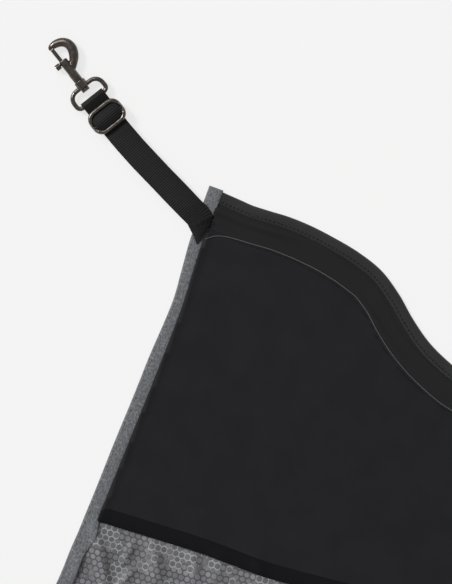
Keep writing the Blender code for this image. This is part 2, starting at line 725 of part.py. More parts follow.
for name, x in SURCINGLE_PLACES.items():
    right = surcingle(name, RIGHT, x, SURCINGLE_LENGTH, SURCINGLE_TAIL, FLARE)
    track_name = f"surcingle_slider_{name}_track"
    track = empty(track_name, (SURCINGLE_LENGTH - SLIDER_FROM_BAR, 0, 0), 0, right)
    slider(f"surcingle_slider_{name}", SURCINGLE_WIDTH, track)
    fitting(f"surcingle_hook_{name}", [T_HOOK, webbing_slot], SURCINGLE_LENGTH, right)
    left = surcingle(name, LEFT, x, PLATE_TAB_LENGTH, PLATE_TAB_TAIL, TAB_FLARE)
    fitting(f"surcingle_plate_{name}", [SLOT_PLATE, webbing_slot, HOOK_SLOT], PLATE_TAB_LENGTH, left)

# Centre the sheet over the origin, standing on Z = 0
bpy.context.view_layer.update()
graph = bpy.context.evaluated_depsgraph_get()
low, high = Vector((9, 9)), Vector((-9, -9))
for obj in parts.objects:
    if obj.type == "EMPTY":
        continue
    solid = obj.evaluated_get(graph)
    for vertex in solid.to_mesh().vertices:
        spot = solid.matrix_world @ vertex.co
        low = Vector(map(min, low, spot))
        high = Vector(map(max, high, spot))
    solid.to_mesh_clear()
for obj in parts.objects:
    if obj.parent is None:
        obj.location.x -= (low.x + high.x) / 2
        obj.location.y -= (low.y + high.y) / 2
bpy.context.view_layer.update()
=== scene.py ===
"""A horse's fly sheet laid out flat, inner side up, seen from straight above at its right front corner.

Everything is in metres in the frame of the CAD model: +X runs back along the spine, the right half lies at
-Y, and +Z faces the horse. Cloth, tapes and webbing are rebuilt as soft pieces over the outlines of the CAD
solids, and the metal fittings are softened copies of theirs.
"""

import json
import math

import bmesh
import bpy
import numpy as np
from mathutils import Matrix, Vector
from mathutils.geometry import delaunay_2d_cdt


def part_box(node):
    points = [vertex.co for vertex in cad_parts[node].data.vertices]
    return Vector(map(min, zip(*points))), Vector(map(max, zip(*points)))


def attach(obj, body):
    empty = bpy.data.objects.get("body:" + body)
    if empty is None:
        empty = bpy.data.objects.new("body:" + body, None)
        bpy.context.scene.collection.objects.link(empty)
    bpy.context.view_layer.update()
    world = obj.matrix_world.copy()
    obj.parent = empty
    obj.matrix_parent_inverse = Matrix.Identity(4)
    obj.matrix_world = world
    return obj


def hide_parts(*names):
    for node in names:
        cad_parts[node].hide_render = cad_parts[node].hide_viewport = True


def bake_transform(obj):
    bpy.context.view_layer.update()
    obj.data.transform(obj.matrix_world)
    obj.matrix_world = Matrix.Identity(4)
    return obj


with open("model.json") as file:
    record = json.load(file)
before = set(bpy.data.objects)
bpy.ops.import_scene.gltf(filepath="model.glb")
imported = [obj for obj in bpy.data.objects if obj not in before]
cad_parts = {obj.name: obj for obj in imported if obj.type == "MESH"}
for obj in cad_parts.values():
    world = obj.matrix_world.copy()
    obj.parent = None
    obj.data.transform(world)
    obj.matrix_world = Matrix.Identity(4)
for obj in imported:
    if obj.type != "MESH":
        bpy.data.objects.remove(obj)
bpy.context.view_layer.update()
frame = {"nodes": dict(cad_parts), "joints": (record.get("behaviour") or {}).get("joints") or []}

MM = 0.001
RIGHT, LEFT = -1, 1
SIDES = {RIGHT: "right", LEFT: "left"}

# Heights of the layers' middles over the surface that the sheet lies on
SHELL_Z = 0.6 * MM
LINING_Z = 2.5 * MM
FACING_Z = 2.7 * MM

# Widths
BINDING = 9.0 * MM
FACING = 35.3 * MM  # neckline to the facing's inner edge
STRIP = 12.3 * MM
HEM = 20 * MM
ROLL = 13 * MM
SPINE_TAPE = 12 * MM  # from the spine to either edge
CHEST_HALF = 12.5 * MM  # half of the chest webbing's width
BELLY_HALF = 25 * MM  # half of the surcingles' width


# Paths from the CAD model


def outline(node):
    """The closed edge of a flat node's upper face, anticlockwise from above."""
    mesh = frame["nodes"][node].data
    mesh.calc_loop_triangles()
    spots = [tuple(round(c, 6) for c in v.co) for v in mesh.vertices]
    top = max(s[2] for s in spots)
    edges = set()
    for triangle in mesh.loop_triangles:
        ring = [spots[i] for i in triangle.vertices]
        if min(s[2] for s in ring) < top - 1e-5:
            continue
        for a, b in zip(ring, ring[1:] + ring[:1]):
            if (b[:2], a[:2]) in edges:
                edges.remove((b[:2], a[:2]))
            else:
                edges.add((a[:2], b[:2]))
    follow = dict(edges)
    loop = [min(follow)]
    while follow[loop[-1]] != loop[0]:
        loop.append(follow[loop[-1]])
    return np.array(loop)


def distance(points, path):
    """Distance of each point from an open path."""
    best = np.full(len(points), 9.0)
    for a, b in zip(path, path[1:]):
        t = np.clip(((points - a) @ (b - a)) / max((b - a) @ (b - a), 1e-12), 0, 1)
        best = np.minimum(best, np.linalg.norm(points - a - t[:, None] * (b - a), axis=1))
    return best


def smooth_path(points, spacing):
    """An evenly stepped curve through points of a path in 2D or 3D."""
    points = np.asarray(points, float)
    steps = np.linalg.norm(np.diff(points, axis=0), axis=1)
    keep = np.r_[True, steps > 1e-6]
    points = points[keep]
    if steps.max() > 60 * MM:  # a long run is cut up, so that the curve can't swing out beside it
        points = np.vstack(
            [np.linspace(a, b, max(1, int(np.linalg.norm(b - a) / (20 * MM))), endpoint=False)
             for a, b in zip(points, points[1:])] + [points[-1:]]
        )
    steps = np.linalg.norm(np.diff(points, axis=0), axis=1)
    slopes = np.diff(points, axis=0) / steps[:, None]
    inner = slopes[:-1] * steps[1:, None] + slopes[1:] * steps[:-1, None]
    inner = inner / (steps[1:] + steps[:-1])[:, None]
    slopes = np.vstack([slopes[:1], inner, slopes[-1:]])
    at = np.r_[0, np.cumsum(steps)]
    s = np.linspace(0, at[-1], max(2, int(round(at[-1] / spacing)) + 1))
    k = np.clip(np.searchsorted(at, s, side="right") - 1, 0, len(steps) - 1)
    h = steps[k]
    t = ((s - at[k]) / h)[:, None]
    h = h[:, None]
    return (
        (2 * t**3 - 3 * t**2 + 1) * points[k]
        + (t**3 - 2 * t**2 + t) * h * slopes[k]
        + (3 * t**2 - 2 * t**3) * points[k + 1]
        + (t**3 - t**2) * h * slopes[k + 1]
    )


def unit(vectors):
    """Each row scaled to length 1."""
    return vectors / np.linalg.norm(vectors, axis=1)[:, None]


def arclength(path):
    return np.r_[0, np.cumsum(np.linalg.norm(np.diff(path, axis=0), axis=1))]


def leftward(path):
    """The unit normals on a plan path's left hand, which is the cloth's inner side."""
    tangent = unit(np.gradient(path, axis=0))
    return np.c_[-tangent[:, 1], tangent[:, 0]]


def inset(path, reach):
    return path + leftward(path) * reach


def mirrored(path):
    """The same path on the other half, running the other way."""
    return (path * (1, -1))[::-1]


shell_loop = outline("shell_right")
spine_side = np.where(shell_loop[:, 1] > -MM)[0]
first = spine_side[np.argmin(shell_loop[spine_side, 0])]
shell_loop = np.roll(shell_loop, -first, axis=0)
front_end = int(np.argmin(shell_loop[:, 0]))
on_belly = np.where(distance(shell_loop, outline("belly_hem_right")) < 0.8 * MM)[0]
on_belly = on_belly[on_belly > front_end]
NECK = shell_loop[:front_end].copy()
NECK[0, 1] = 0
CORNER = NECK[-1]
CLOSING = shell_loop[front_end : on_belly[0] + 1]
BELLY = shell_loop[on_belly[0] : on_belly[-1] + 1]
REAR_X = shell_loop[:, 0].max()
NECK = smooth_path(NECK, 2.5 * MM)
to_corner = arclength(NECK)[-1] - arclength(NECK)
# Under the closing strip's top the neckline runs straight on, below the strip's end.
under_strip = np.where(to_corner < 24 * MM)[0]
bend = under_strip[0]
ahead = NECK[bend] - NECK[bend - 4]
ahead /= np.linalg.norm(ahead)
NECK[under_strip] = NECK[bend] + ahead * (to_corner[bend] - to_corner[under_strip])[:, None]
NECK[0, 1] = 0
roll_loop = outline("lining_roll_right")
lining_loop = outline("lining_right")
off_lining = distance(roll_loop, np.vstack([lining_loop, lining_loop[:1]])) > 5 * MM
start = next(k for k in range(len(roll_loop)) if off_lining[k] and not off_lining[k - 1])
LINING_EDGE = np.roll(roll_loop, -start, axis=0)[: off_lining.sum()]
LINING_EDGE[-1 if LINING_EDGE[-1, 1] > LINING_EDGE[0, 1] else 0, 1] = 0
# The closing edge is nearly straight at its top.
CLOSING_HEADING = CLOSING[min(6, len(CLOSING) - 1)] - CLOSING[0]
CLOSING_HEADING /= np.linalg.norm(CLOSING_HEADING)
CLOSING_OUTWARD = np.array((CLOSING_HEADING[1], -CLOSING_HEADING[0]))


def from_corner(back, out):
    """A plan point in millimetres back from the right front corner and out from it."""
    return CORNER + np.array((back + 0.5, -out - 1.2)) * MM


# The lie of the cloth

SURCINGLES = {
    name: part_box(f"surcingle_strap_{name}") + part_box(f"surcingle_plate_{name}") for name in ("front", "rear")
}
CREASES = [  # (back, out) of the middle in mm from the front corner, heading, half length, width, height
    (167, 326, -34, 30, 5.5, 7.0),
    (178, 302, -72, 11, 3.4, 3.8),
    (201, 289, -27, 18, 6.0, 5.0),
    (193, 320, -88, 12, 3.6, 3.4),
    (231, 268, -40, 15, 5.0, 2.6),
    (252, 262, -62, 26, 8.0, 2.0),
    (283, 232, -35, 22, 6.0, 1.6),
    (228, 322, -52, 46, 8.0, 2.4),
    (262, 288, -35, 42, 8.0, 1.8),
]
chance = np.random.default_rng(11)
# Faint wrinkles all over: limits of x and y in metres, then as for the creases
LIMITS = ((-1.0, 1.0), (-0.9, 0.9), (0, 180), (60, 170), (10, 24), (0.8, 3.2))
WRINKLES = [[chance.uniform(*pair) for pair in LIMITS] for _ in range(90)]


def fold(points, middle, heading, half_length, width, height):
    """One soft ridge in the cloth, slightly curved."""
    away = points - middle
    angle = math.radians(heading)
    along = away @ (math.cos(angle), math.sin(angle))
    across = away @ (-math.sin(angle), math.cos(angle)) + 1.5 * along**2
    return height * MM * np.exp(-((across / (width * MM)) ** 2) - (along / (half_length * MM)) ** 4)


def smoothstep(t):
    t = np.clip(t, 0, 1)
    return t * t * (3 - 2 * t)


def lie(points):
    """Height of the cloth's soft folds at plan points: none under the fittings."""
    points = np.asarray(points, float)
    x, y = points[:, 0], points[:, 1]
    waves = np.sin(9.1 * x + 4.3 * y + 0.6) + np.sin(-6.2 * x + 11.7 * y + 1.9) + np.sin(17.0 * x - 13.0 * y)
    height = 0.35 * MM * (3 + waves)
    for back, out, heading, half_length, width, top in CREASES:
        height += fold(points, from_corner(back, out), heading, half_length, width, top)
    far = smoothstep((np.linalg.norm(points - from_corner(120, 130), axis=1) - 0.24) / 0.08)
    for cx, cy, heading, half_length, width, top in WRINKLES:
        height += far * fold(points, np.array((cx, cy)), heading, half_length, width, top)
    calm = np.ones(len(points))
    for boxes in SURCINGLES.values():
        mid_x = (boxes[0].x + boxes[1].x) / 2
        calm = np.minimum(calm, smoothstep((np.abs(x - mid_x) - 0.075) / 0.06))
    for side in (RIGHT, LEFT):
        spot = from_corner(0, 34) * (1, -side)
        calm = np.minimum(calm, smoothstep((np.linalg.norm(points - spot, axis=1) - 0.02) / 0.05))
    return height * calm


# Materials


class Nodes:
    """Builds a material's node tree with short calls."""

    def __init__(self, name, colour, roughness, **sockets):
        self.material = bpy.data.materials.new(name)
        self.material.use_nodes = True
        self.tree = self.material.node_tree
        self.shader = self.tree.nodes["Principled BSDF"]
        self.set("Base Color", (*colour, 1))
        self.set("Roughness", roughness)
        for socket, value in sockets.items():
            self.set(socket.replace("_", " ").title().replace("Ior", "IOR"), value)

    def feed(self, socket, value):
        """Sets a socket to a constant, or links another socket into it."""
        if isinstance(value, bpy.types.NodeSocket):
            self.tree.links.new(value, socket)
        else:
            socket.default_value = value

    def set(self, socket, value):
        self.feed(self.shader.inputs[socket], value)

    def add(self, kind, inputs=(), **settings):
        node = self.tree.nodes.new("ShaderNode" + kind)
        for key, value in settings.items():
            setattr(node, key, value)
        for key, value in dict(inputs).items():
            self.feed(node.inputs[key], value)
        return node

    def math(self, operation, *values):
        return self.add("Math", dict(enumerate(values)), operation=operation).outputs[0]

    def vector(self, operation, *values):
        node = self.add("VectorMath", dict(enumerate(values)), operation=operation)
        return node.outputs["Value" if operation in ("LENGTH", "DOT_PRODUCT") else 0]

    def uv(self):
        return self.add("UVMap", uv_map="metric").outputs[0]

    def noise(self, where, scale, detail=2.0, stretch=(1, 1, 1)):
        spot = self.vector("MULTIPLY", where, stretch)
        return self.add("TexNoise", {"Vector": spot, "Scale": scale, "Detail": detail}).outputs["Fac"]

    def span(self, value, low, high, to_low=0.0, to_high=1.0):
        sockets = {0: value, 1: low, 2: high, 3: to_low, 4: to_high}
        return self.add("MapRange", sockets, interpolation_type="SMOOTHSTEP").outputs[0]

    def blend(self, factor, a, b):
        """A colour between two, each a colour or a socket."""
        node = self.add("Mix", {0: factor}, data_type="RGBA")
        for key, value in ((6, a), (7, b)):
            self.feed(node.inputs[key], (*value, 1) if isinstance(value, tuple) else value)
        return node.outputs[2]

    def waves(self, where, pitch, direction):
        """A wave from 0 to 1 across a direction, with this pitch in metres."""
        along = self.vector("DOT_PRODUCT", where, direction)
        wave = self.math("SINE", self.math("MULTIPLY", along, 2 * math.pi / pitch))
        return self.math("MULTIPLY_ADD", wave, 0.5, 0.5)

    def bump(self, height, depth, strength=1.0):
        node = self.add("Bump", {"Height": height, "Distance": depth, "Strength": strength})
        if self.shader.inputs["Normal"].is_linked:
            self.tree.links.new(self.shader.inputs["Normal"].links[0].from_socket, node.inputs["Normal"])
        self.set("Normal", node.outputs[0])


def times(colour, factor):
    return tuple(c * factor for c in colour)


def twill(made, where, pitch, depth):
    """Crossed threads: a fine over-and-under bump on the diagonal."""
    warp = made.waves(where, pitch, (0.8, 0.6, 0))
    weft = made.waves(where, pitch * 1.15, (-0.6, 0.8, 0))
    weave = made.math("MULTIPLY", warp, weft)
    made.bump(weave, depth)
    return weave


CELL = 5.85 * MM  # across the flats of the rip pattern's hexagons
HALF_CELL = (0.5, 0.8660254, 0.5)  # half the repeat of a hexagonal grid, in cells


def shell_material():
    """Rip-pattern polyester: hexagonal cells between thin ridges, with a satin face. Its satin sheen is painted:
    in some patches the ridges carry a painted highlight over darker cells, in others the cells are painted pale
    with painted shade at their rims and along the ridges.
    """
    made = Nodes("hexagon_rip_cloth", (0.19, 0.195, 0.21), 0.55, specular_ior_level=0.25, sheen_weight=0.15)
    where = made.uv()
    turn = math.radians(28)
    axis_u, axis_v = (math.cos(turn), math.sin(turn), 0), (-math.sin(turn), math.cos(turn), 0)
    parts = {0: made.vector("DOT_PRODUCT", where, axis_u), 1: made.vector("DOT_PRODUCT", where, axis_v)}
    cell = made.vector("MULTIPLY", made.add("CombineXYZ", parts).outputs[0], (1 / CELL, 1 / CELL, 0))
    low = times(HALF_CELL, -1)
    near = made.vector("WRAP", cell, HALF_CELL, low)
    other = made.vector("WRAP", made.vector("ADD", cell, HALF_CELL), HALF_CELL, low)
    pick = made.math("GREATER_THAN", made.vector("LENGTH", near), made.vector("LENGTH", other))
    mix = made.add("Mix", {0: pick, 4: near, 5: other}, data_type="VECTOR").outputs[1]
    spread = made.vector("ABSOLUTE", mix)
    x = made.add("SeparateXYZ", {0: spread}).outputs[0]
    slanted = made.vector("DOT_PRODUCT", spread, (*HALF_CELL[:2], 0))
    edge = made.math("SUBTRACT", 0.5, made.math("MAXIMUM", x, slanted))
    centre = made.vector("SUBTRACT", cell, mix)
    # Patches of painted satin sheen: where this mask is low the ridges are painted bright over dark cells, where
    # it is high the cells are painted pale with painted shade round them.
    sheen_patch = made.span(made.noise(centre, 0.36, 2, (1, 0.5, 1)), 0.44, 0.48)
    single = made.span(made.noise(centre, 5.3, 0), 0.3, 0.7, 0.84, 1.14)
    line = made.span(edge, 0.035, 0.075, 1.0, 0.0)
    rim = made.span(edge, 0.05, 0.16)
    grain = made.noise(where, 2600, 1)
    mottle = made.noise(where, 110, 2)
    body = made.blend(sheen_patch, (0.150, 0.152, 0.158), (0.232, 0.227, 0.246))
    body = made.blend(made.span(mottle, 0.35, 0.65, 0.0, 0.35), body, (0.13, 0.131, 0.139))
    grey = made.add("CombineXYZ", {0: single, 1: single, 2: single}).outputs[0]
    body = made.vector("MULTIPLY", body, grey)
    # Painted light and shade at the cells' rims: a pale halo beside the bright ridges, and painted shade round
    # the pale puffed cells.
    rim_painted_light_and_shade = made.blend(sheen_patch, (0.215, 0.216, 0.220), (0.105, 0.103, 0.112))
    body = made.blend(rim, rim_painted_light_and_shade, body)
    # The ridges' colour is painted sheen: a painted highlight in one kind of patch, painted shade in the other.
    ridge = made.blend(sheen_patch, (0.37, 0.37, 0.375), (0.085, 0.085, 0.092))
    colour = made.blend(line, body, ridge)
    colour = made.blend(made.span(grain, 0.3, 0.7, 0.0, 0.22), colour, (0.10, 0.102, 0.108))
    made.set("Base Color", colour)
    made.bump(rim, 0.35 * MM, 0.8)
    twill(made, where, 0.5 * MM, 0.03 * MM)
    return made.material


def plain_cloth(name, colour, roughness, pitch, depth, mottle, sheen, specular):
    """A dyed woven or knitted cloth with a fine weave, painted light and shade on its threads, and faint
    variation in its tone.
    """
    gloss = dict(specular_ior_level=specular, sheen_weight=sheen, sheen_roughness=0.5)
    made = Nodes(name, colour, roughness, **gloss)
    where = made.uv()
    weave = twill(made, where, pitch, depth)
    cloudy = made.noise(where, 30, 3)
    fuzz = made.noise(where, 1400, 2)
    # The weave's raised threads are painted paler and its hollows darker: painted light and shade of the weave.
    # The cloudy and fuzz blends below are the cloth's own uneven tone.
    shade = made.blend(made.span(weave, 0.1, 0.9), times(colour, 0.78), times(colour, 1.15))
    shade = made.blend(made.span(cloudy, 0.35, 0.65, 0.0, mottle), shade, times(colour, 1.45))
    shade = made.blend(made.span(fuzz, 0.35, 0.7, 0.0, 0.3), shade, times(colour, 0.7))
    made.set("Base Color", shade)
    made.set("Roughness", made.span(cloudy, 0.3, 0.7, roughness - 0.05, roughness + 0.06))
    return made.material


def melange_material():
    """Heather-grey twill tape: pale and dark fibres spun together."""
    made = Nodes("melange_tape", (0.15, 0.16, 0.175), 0.85, specular_ior_level=0.15, sheen_weight=0.2)
    where = made.uv()
    fibres = made.noise(where, 900, 4, stretch=(0.35, 1.0, 1))
    flecks = made.noise(where, 420, 3, stretch=(1.0, 0.5, 1))
    cloudy = made.noise(where, 60, 2)
    colour = made.blend(made.span(fibres, 0.35, 0.65), (0.093, 0.098, 0.106), (0.205, 0.212, 0.222))
    colour = made.blend(made.span(flecks, 0.56, 0.70, 0.0, 0.65), colour, (0.30, 0.308, 0.318))
    colour = made.blend(made.span(flecks, 0.42, 0.30, 0.0, 0.6), colour, (0.06, 0.066, 0.075))
    colour = made.blend(made.span(cloudy, 0.3, 0.7, 0.0, 0.25), colour, (0.12, 0.128, 0.140))
    made.set("Base Color", colour)
    twill(made, where, 1.1 * MM, 0.10 * MM)
    made.bump(fibres, 0.05 * MM, 0.7)
    return made.material


def webbing_material():
    made = Nodes("ribbed_webbing", (0.008, 0.008, 0.009), 0.55, specular_ior_level=0.16, sheen_weight=0.0)
    where = made.uv()
    ribs = made.waves(where, 2.0 * MM, (1, 0, 0))
    threads = made.waves(where, 0.9 * MM, (0, 1, 0))
    fuzz = made.noise(where, 1200, 2)
    # The rib tops are painted paler and the grooves between them near black: painted light and shade on the
    # ribs.
    colour = made.blend(made.span(ribs, 0.25, 0.75), (0.0020, 0.0020, 0.0024), (0.0200, 0.0200, 0.0212))
    colour = made.blend(made.span(fuzz, 0.4, 0.7, 0.0, 0.4), colour, (0.012, 0.012, 0.013))
    made.set("Base Color", colour)
    made.bump(threads, 0.10 * MM, 0.6)
    made.bump(ribs, 0.22 * MM, 0.9)
    return made.material


def gunmetal_material():
    """Dark nickel plating with faint scratches and cast unevenness, and a painted highlight along the high
    edges.
    """
    made = Nodes("gunmetal_plating", (0.13, 0.115, 0.10), 0.30, metallic=1.0)
    where = made.add("TexCoord").outputs["Object"]
    cloudy = made.noise(where, 220, 3)
    scratches = made.noise(where, 700, 2, stretch=(0.25, 1.6, 1))
    edges = made.add("NewGeometry").outputs["Pointiness"]
    colour = made.blend(made.span(cloudy, 0.3, 0.7), (0.110, 0.096, 0.085), (0.145, 0.128, 0.114))
    colour = made.blend(made.span(scratches, 0.60, 0.72, 0.0, 0.25), colour, (0.24, 0.215, 0.195))
    # Painted highlight: the sharp edges are painted paler, as if they caught the light.
    colour = made.blend(made.span(edges, 0.50, 0.58, 0.0, 0.4), colour, (0.40, 0.35, 0.31))
    made.set("Base Color", colour)
    made.set("Roughness", made.span(cloudy, 0.3, 0.7, 0.20, 0.34))
    made.bump(scratches, 0.012 * MM, 0.4)
    return made.material


def thread_material(name, colour):
    made = Nodes(name, colour, 0.6, specular_ior_level=0.3, sheen_weight=0.1)
    where = made.uv()
    twist = made.waves(where, 0.45 * MM, (0.8, 0.6, 0))
    # The twist's crests are painted paler and its grooves darker: painted light and shade of the twist.
    made.set("Base Color", made.blend(twist, times(colour, 0.6), times(colour, 1.3)))
    made.bump(twist, 0.05 * MM, 0.8)
    return made.material


SHELL_CLOTH = shell_material()
LINING_CLOTH, ROLL_SHADED_LINING, FACING_CLOTH, BINDING_TAPE = (
    plain_cloth(name, colour, roughness, pitch * MM, depth * MM, mottle, sheen, specular)
    for name, colour, roughness, pitch, depth, mottle, sheen, specular in (
        ("satin_lining", (0.0127, 0.0128, 0.0158), 0.62, 0.8, 0.025, 0.35, 0.06, 0.14),
        # The lining's rolled edge is the lining's own cloth made darker and duller: painted shade where the roll
        # turns away from the light.
        ("lining_edge_cloth", (0.0072, 0.0072, 0.0092), 0.7, 0.8, 0.025, 0.15, 0.02, 0.08),
        ("facing_cloth", (0.0158, 0.0158, 0.0170), 0.8, 1.0, 0.05, 0.22, 0.08, 0.15),
        ("binding_tape", (0.0300, 0.0300, 0.0312), 0.8, 0.9, 0.06, 0.25, 0.15, 0.15),
    )
)
MELANGE_TAPE = melange_material()
WEBBING = webbing_material()
GUNMETAL = gunmetal_material()
PALE_THREAD = thread_material("pale_thread", (0.30, 0.30, 0.305))
DARK_THREAD = thread_material("dark_thread", (0.004, 0.004, 0.0045))
GREY_THREAD = thread_material("grey_thread", (0.11, 0.11, 0.113))


# Making pieces


def placed(name, data):
    made = bpy.data.objects.new(name, data)
    bpy.context.scene.collection.objects.link(made)
    return made


def new_piece(name, points, faces, uvs, material):
    """A mesh object; uvs holds one metric (u, v) for each vertex."""
    mesh = bpy.data.meshes.new(name)
    mesh.from_pydata([tuple(map(float, p)) for p in points], [], [tuple(map(int, f)) for f in faces])
    layer = mesh.uv_layers.new(name="metric")
    corner = np.empty(len(mesh.loops), np.int32)
    mesh.loops.foreach_get("vertex_index", corner)
    layer.data.foreach_set("uv", np.asarray(uvs, np.float32)[corner].ravel())
    mesh.materials.append(material)
    mesh.shade_smooth()
    made = placed(name, mesh)
    return made


def thicken(made, thickness):
    change = made.modifiers.new("thickness", "SOLIDIFY")
    change.thickness = thickness
    change.offset = 0.0
    change.use_rim = True
    return made


def rigid(made, body, *nodes):
    """The piece moves with this body and stands for these nodes."""
    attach(made, body)
    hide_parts(*nodes)


def across_spine(made, *nodes):
    """The piece lies across the spine, fixed where it is, and stands for these nodes of both halves."""
    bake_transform(made)
    if nodes:
        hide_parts(*(f"{node}_{side}" for node in nodes for side in SIDES.values()))
    return made


def area_of(loop):
    x, y = np.asarray(loop)[:, 0], np.asarray(loop)[:, 1]
    return abs(float(x @ np.roll(y, -1) - y @ np.roll(x, -1))) / 2


def declare(loop):
    """Works out a laid cloth's width and length from its outline, a curved band's as half its perimeter and its
    mean width; nothing is done with them.
    """
    loop = np.asarray(loop)
    size = loop.max(0) - loop.min(0)
    area = area_of(loop)
    width, length = (float(s) for s in size)
    if area < 0.31 * width * length:  # a curved or slanting band fills little of its box
        length = arclength(np.vstack([loop, loop[:1]]))[-1] / 2
        width = area / length


def declare_band(line, far, near=0):
    """Works out the size of a band that lies between these distances on a line's inner side."""
    declare(np.vstack([inset(line, near), inset(line, far)[::-1]]))


def inside(points, loop):
    """Which points lie within a closed outline."""
    hit = np.zeros(len(points), bool)
    x, y = points[:, 0], points[:, 1]
    for (ax, ay), (bx, by) in zip(loop, np.roll(loop, -1, axis=0)):
        if ay == by:
            continue
        hit ^= ((ay > y) != (by > y)) & (x < ax + (y - ay) * (bx - ax) / (by - ay))
    return hit


def cloth(name, loop, height, thickness, material):
    """A flat-cut cloth over the sheet's folds, meshed finely at the right front corner."""
    low, high = loop.min(0), loop.max(0)
    grids = []
    middle = from_corner(120, 170)
    for step, within in ((11 * MM, 0), (4 * MM, 1), (1.8 * MM, 2)):  # the finest is for the shell's creases
        gx, gy = np.meshgrid(np.arange(low[0], high[0], step), np.arange(low[1], high[1], step * 0.866))
        gx = gx + (np.arange(gx.shape[0]) % 2)[:, None] * step / 2
        grid = np.c_[gx.ravel(), gy.ravel()]
        zone = (np.abs(grid - middle).max(1) < 0.25).astype(int)
        if name == "shell":
            zone = np.where(np.abs(grid - from_corner(213, 288)).max(1) < 0.085, 2, zone)
        grid = grid[zone == within]
        grid = grid[inside(grid, loop)]
        grids.append(grid[distance(grid, np.vstack([loop, loop[:1]])) > 0.45 * step])
    points = np.vstack([loop, *grids])
    ring = [(k, (k + 1) % len(loop)) for k in range(len(loop))]
    flat, _, faces, *_ = delaunay_2d_cdt([Vector(p) for p in points], ring, [], 1, 1e-7)
    flat = np.array([v[:] for v in flat])
    made = new_piece(name, np.c_[flat, height(flat) + lie(flat)], faces, flat, material)
    return thicken(made, thickness)


def woven(name, columns, runs, offsets, thickness, material):
    """A strip of cloth from columns of 3D points; runs holds each column's lengths along the strip."""
    n, m = len(runs[0]), len(offsets)
    points = np.stack(columns, 1).reshape(-1, 3)
    uvs = np.stack([np.c_[run, np.full(n, offset)] for run, offset in zip(runs, offsets)], 1).reshape(-1, 2)
    faces = [
        (i * m + j, (i + 1) * m + j, (i + 1) * m + j + 1, i * m + j + 1)
        for i in range(n - 1)
        for j in range(m - 1)
    ]
    return thicken(new_piece(name, points, faces, uvs, material), thickness)


def band(name, path, offsets, heights, thickness, material, ripple=None, spread=None):
    """A strip of cloth along a path, with columns at these offsets to its inner side and at these heights."""
    side = leftward(path)
    along = arclength(path)
    columns = []
    for offset, height in zip(offsets, heights):
        flat = path + side * (offset + (0 if spread is None else spread(along, offset)[:, None]))
        z = height + lie(flat)
        if ripple is not None:
            z = z + ripple(along, offset)
        columns.append(np.c_[flat, z])
    return woven(name, columns, [along] * len(offsets), offsets, thickness, material)


def cut_band(name, path, offsets, heights, thickness, material, keep, ripple, step=2.5 * MM):
    """A band with its ends cut along lines: keep(points) says which points lie between them."""
    columns, runs = [], []
    total = arclength(path)
    n = int(total[-1] / step)
    for offset, height in zip(offsets, heights):
        flat = inset(path, offset)
        inner = np.where(keep(flat))[0]
        flat, along = flat[inner[0] : inner[-1] + 1], total[inner[0] : inner[-1] + 1]
        s = np.linspace(along[0], along[-1], n)
        flat = np.c_[np.interp(s, along, flat[:, 0]), np.interp(s, along, flat[:, 1])]
        columns.append(np.c_[flat, height + lie(flat) + ripple(s, offset)])
        runs.append(s)
    return woven(name, columns, runs, offsets, thickness, material)


def sweep(name, path, widthwise, profile, material, along=None):
    """A closed section carried along a 3D path; profile(k) is its (sideways, up) points at a station."""
    path = np.asarray(path, float)
    along = arclength(path) if along is None else along
    tangent = unit(np.gradient(path, axis=0))
    upward = unit(np.cross(tangent, widthwise))
    rings = []
    for k in range(len(path)):
        shape = profile(k)
        rings.append(path[k] + shape[:, :1] * widthwise[k] + shape[:, 1:] * upward[k])
    m = len(rings[0])
    points = np.vstack(rings)
    section = np.r_[0, np.cumsum(np.linalg.norm(np.diff(profile(0), axis=0), axis=1))]
    uvs = np.vstack([np.c_[np.full(m, s), section] for s in along])
    faces = []
    for i in range(len(path) - 1):
        for j in range(m):
            k = (j + 1) % m
            faces.append((i * m + j, i * m + k, (i + 1) * m + k, (i + 1) * m + j))
    faces.append(tuple(range(m))[::-1])
    faces.append(tuple(range(len(points) - m, len(points))))
    return new_piece(name, points, faces, uvs, material)


def tube(name, path, radius, material):
    path = np.asarray(path, float)
    tangent = np.gradient(path, axis=0)
    widthwise = unit(np.cross(tangent, (0, 0, 1)))
    ring = np.array([(radius * math.cos(a), radius * math.sin(a)) for a in np.arange(8) * 2 * math.pi / 8])
    return sweep(name, path, widthwise, lambda k: ring, material)


# Along a stitch from end to end: place, breadth and height, each against half its length, breadth and rise
THREAD_STATIONS = ((-1, 0.25, -0.6), (-0.6, 0.85, 0.6), (0, 1, 1), (0.6, 0.85, 0.6), (1, 0.25, -0.6))


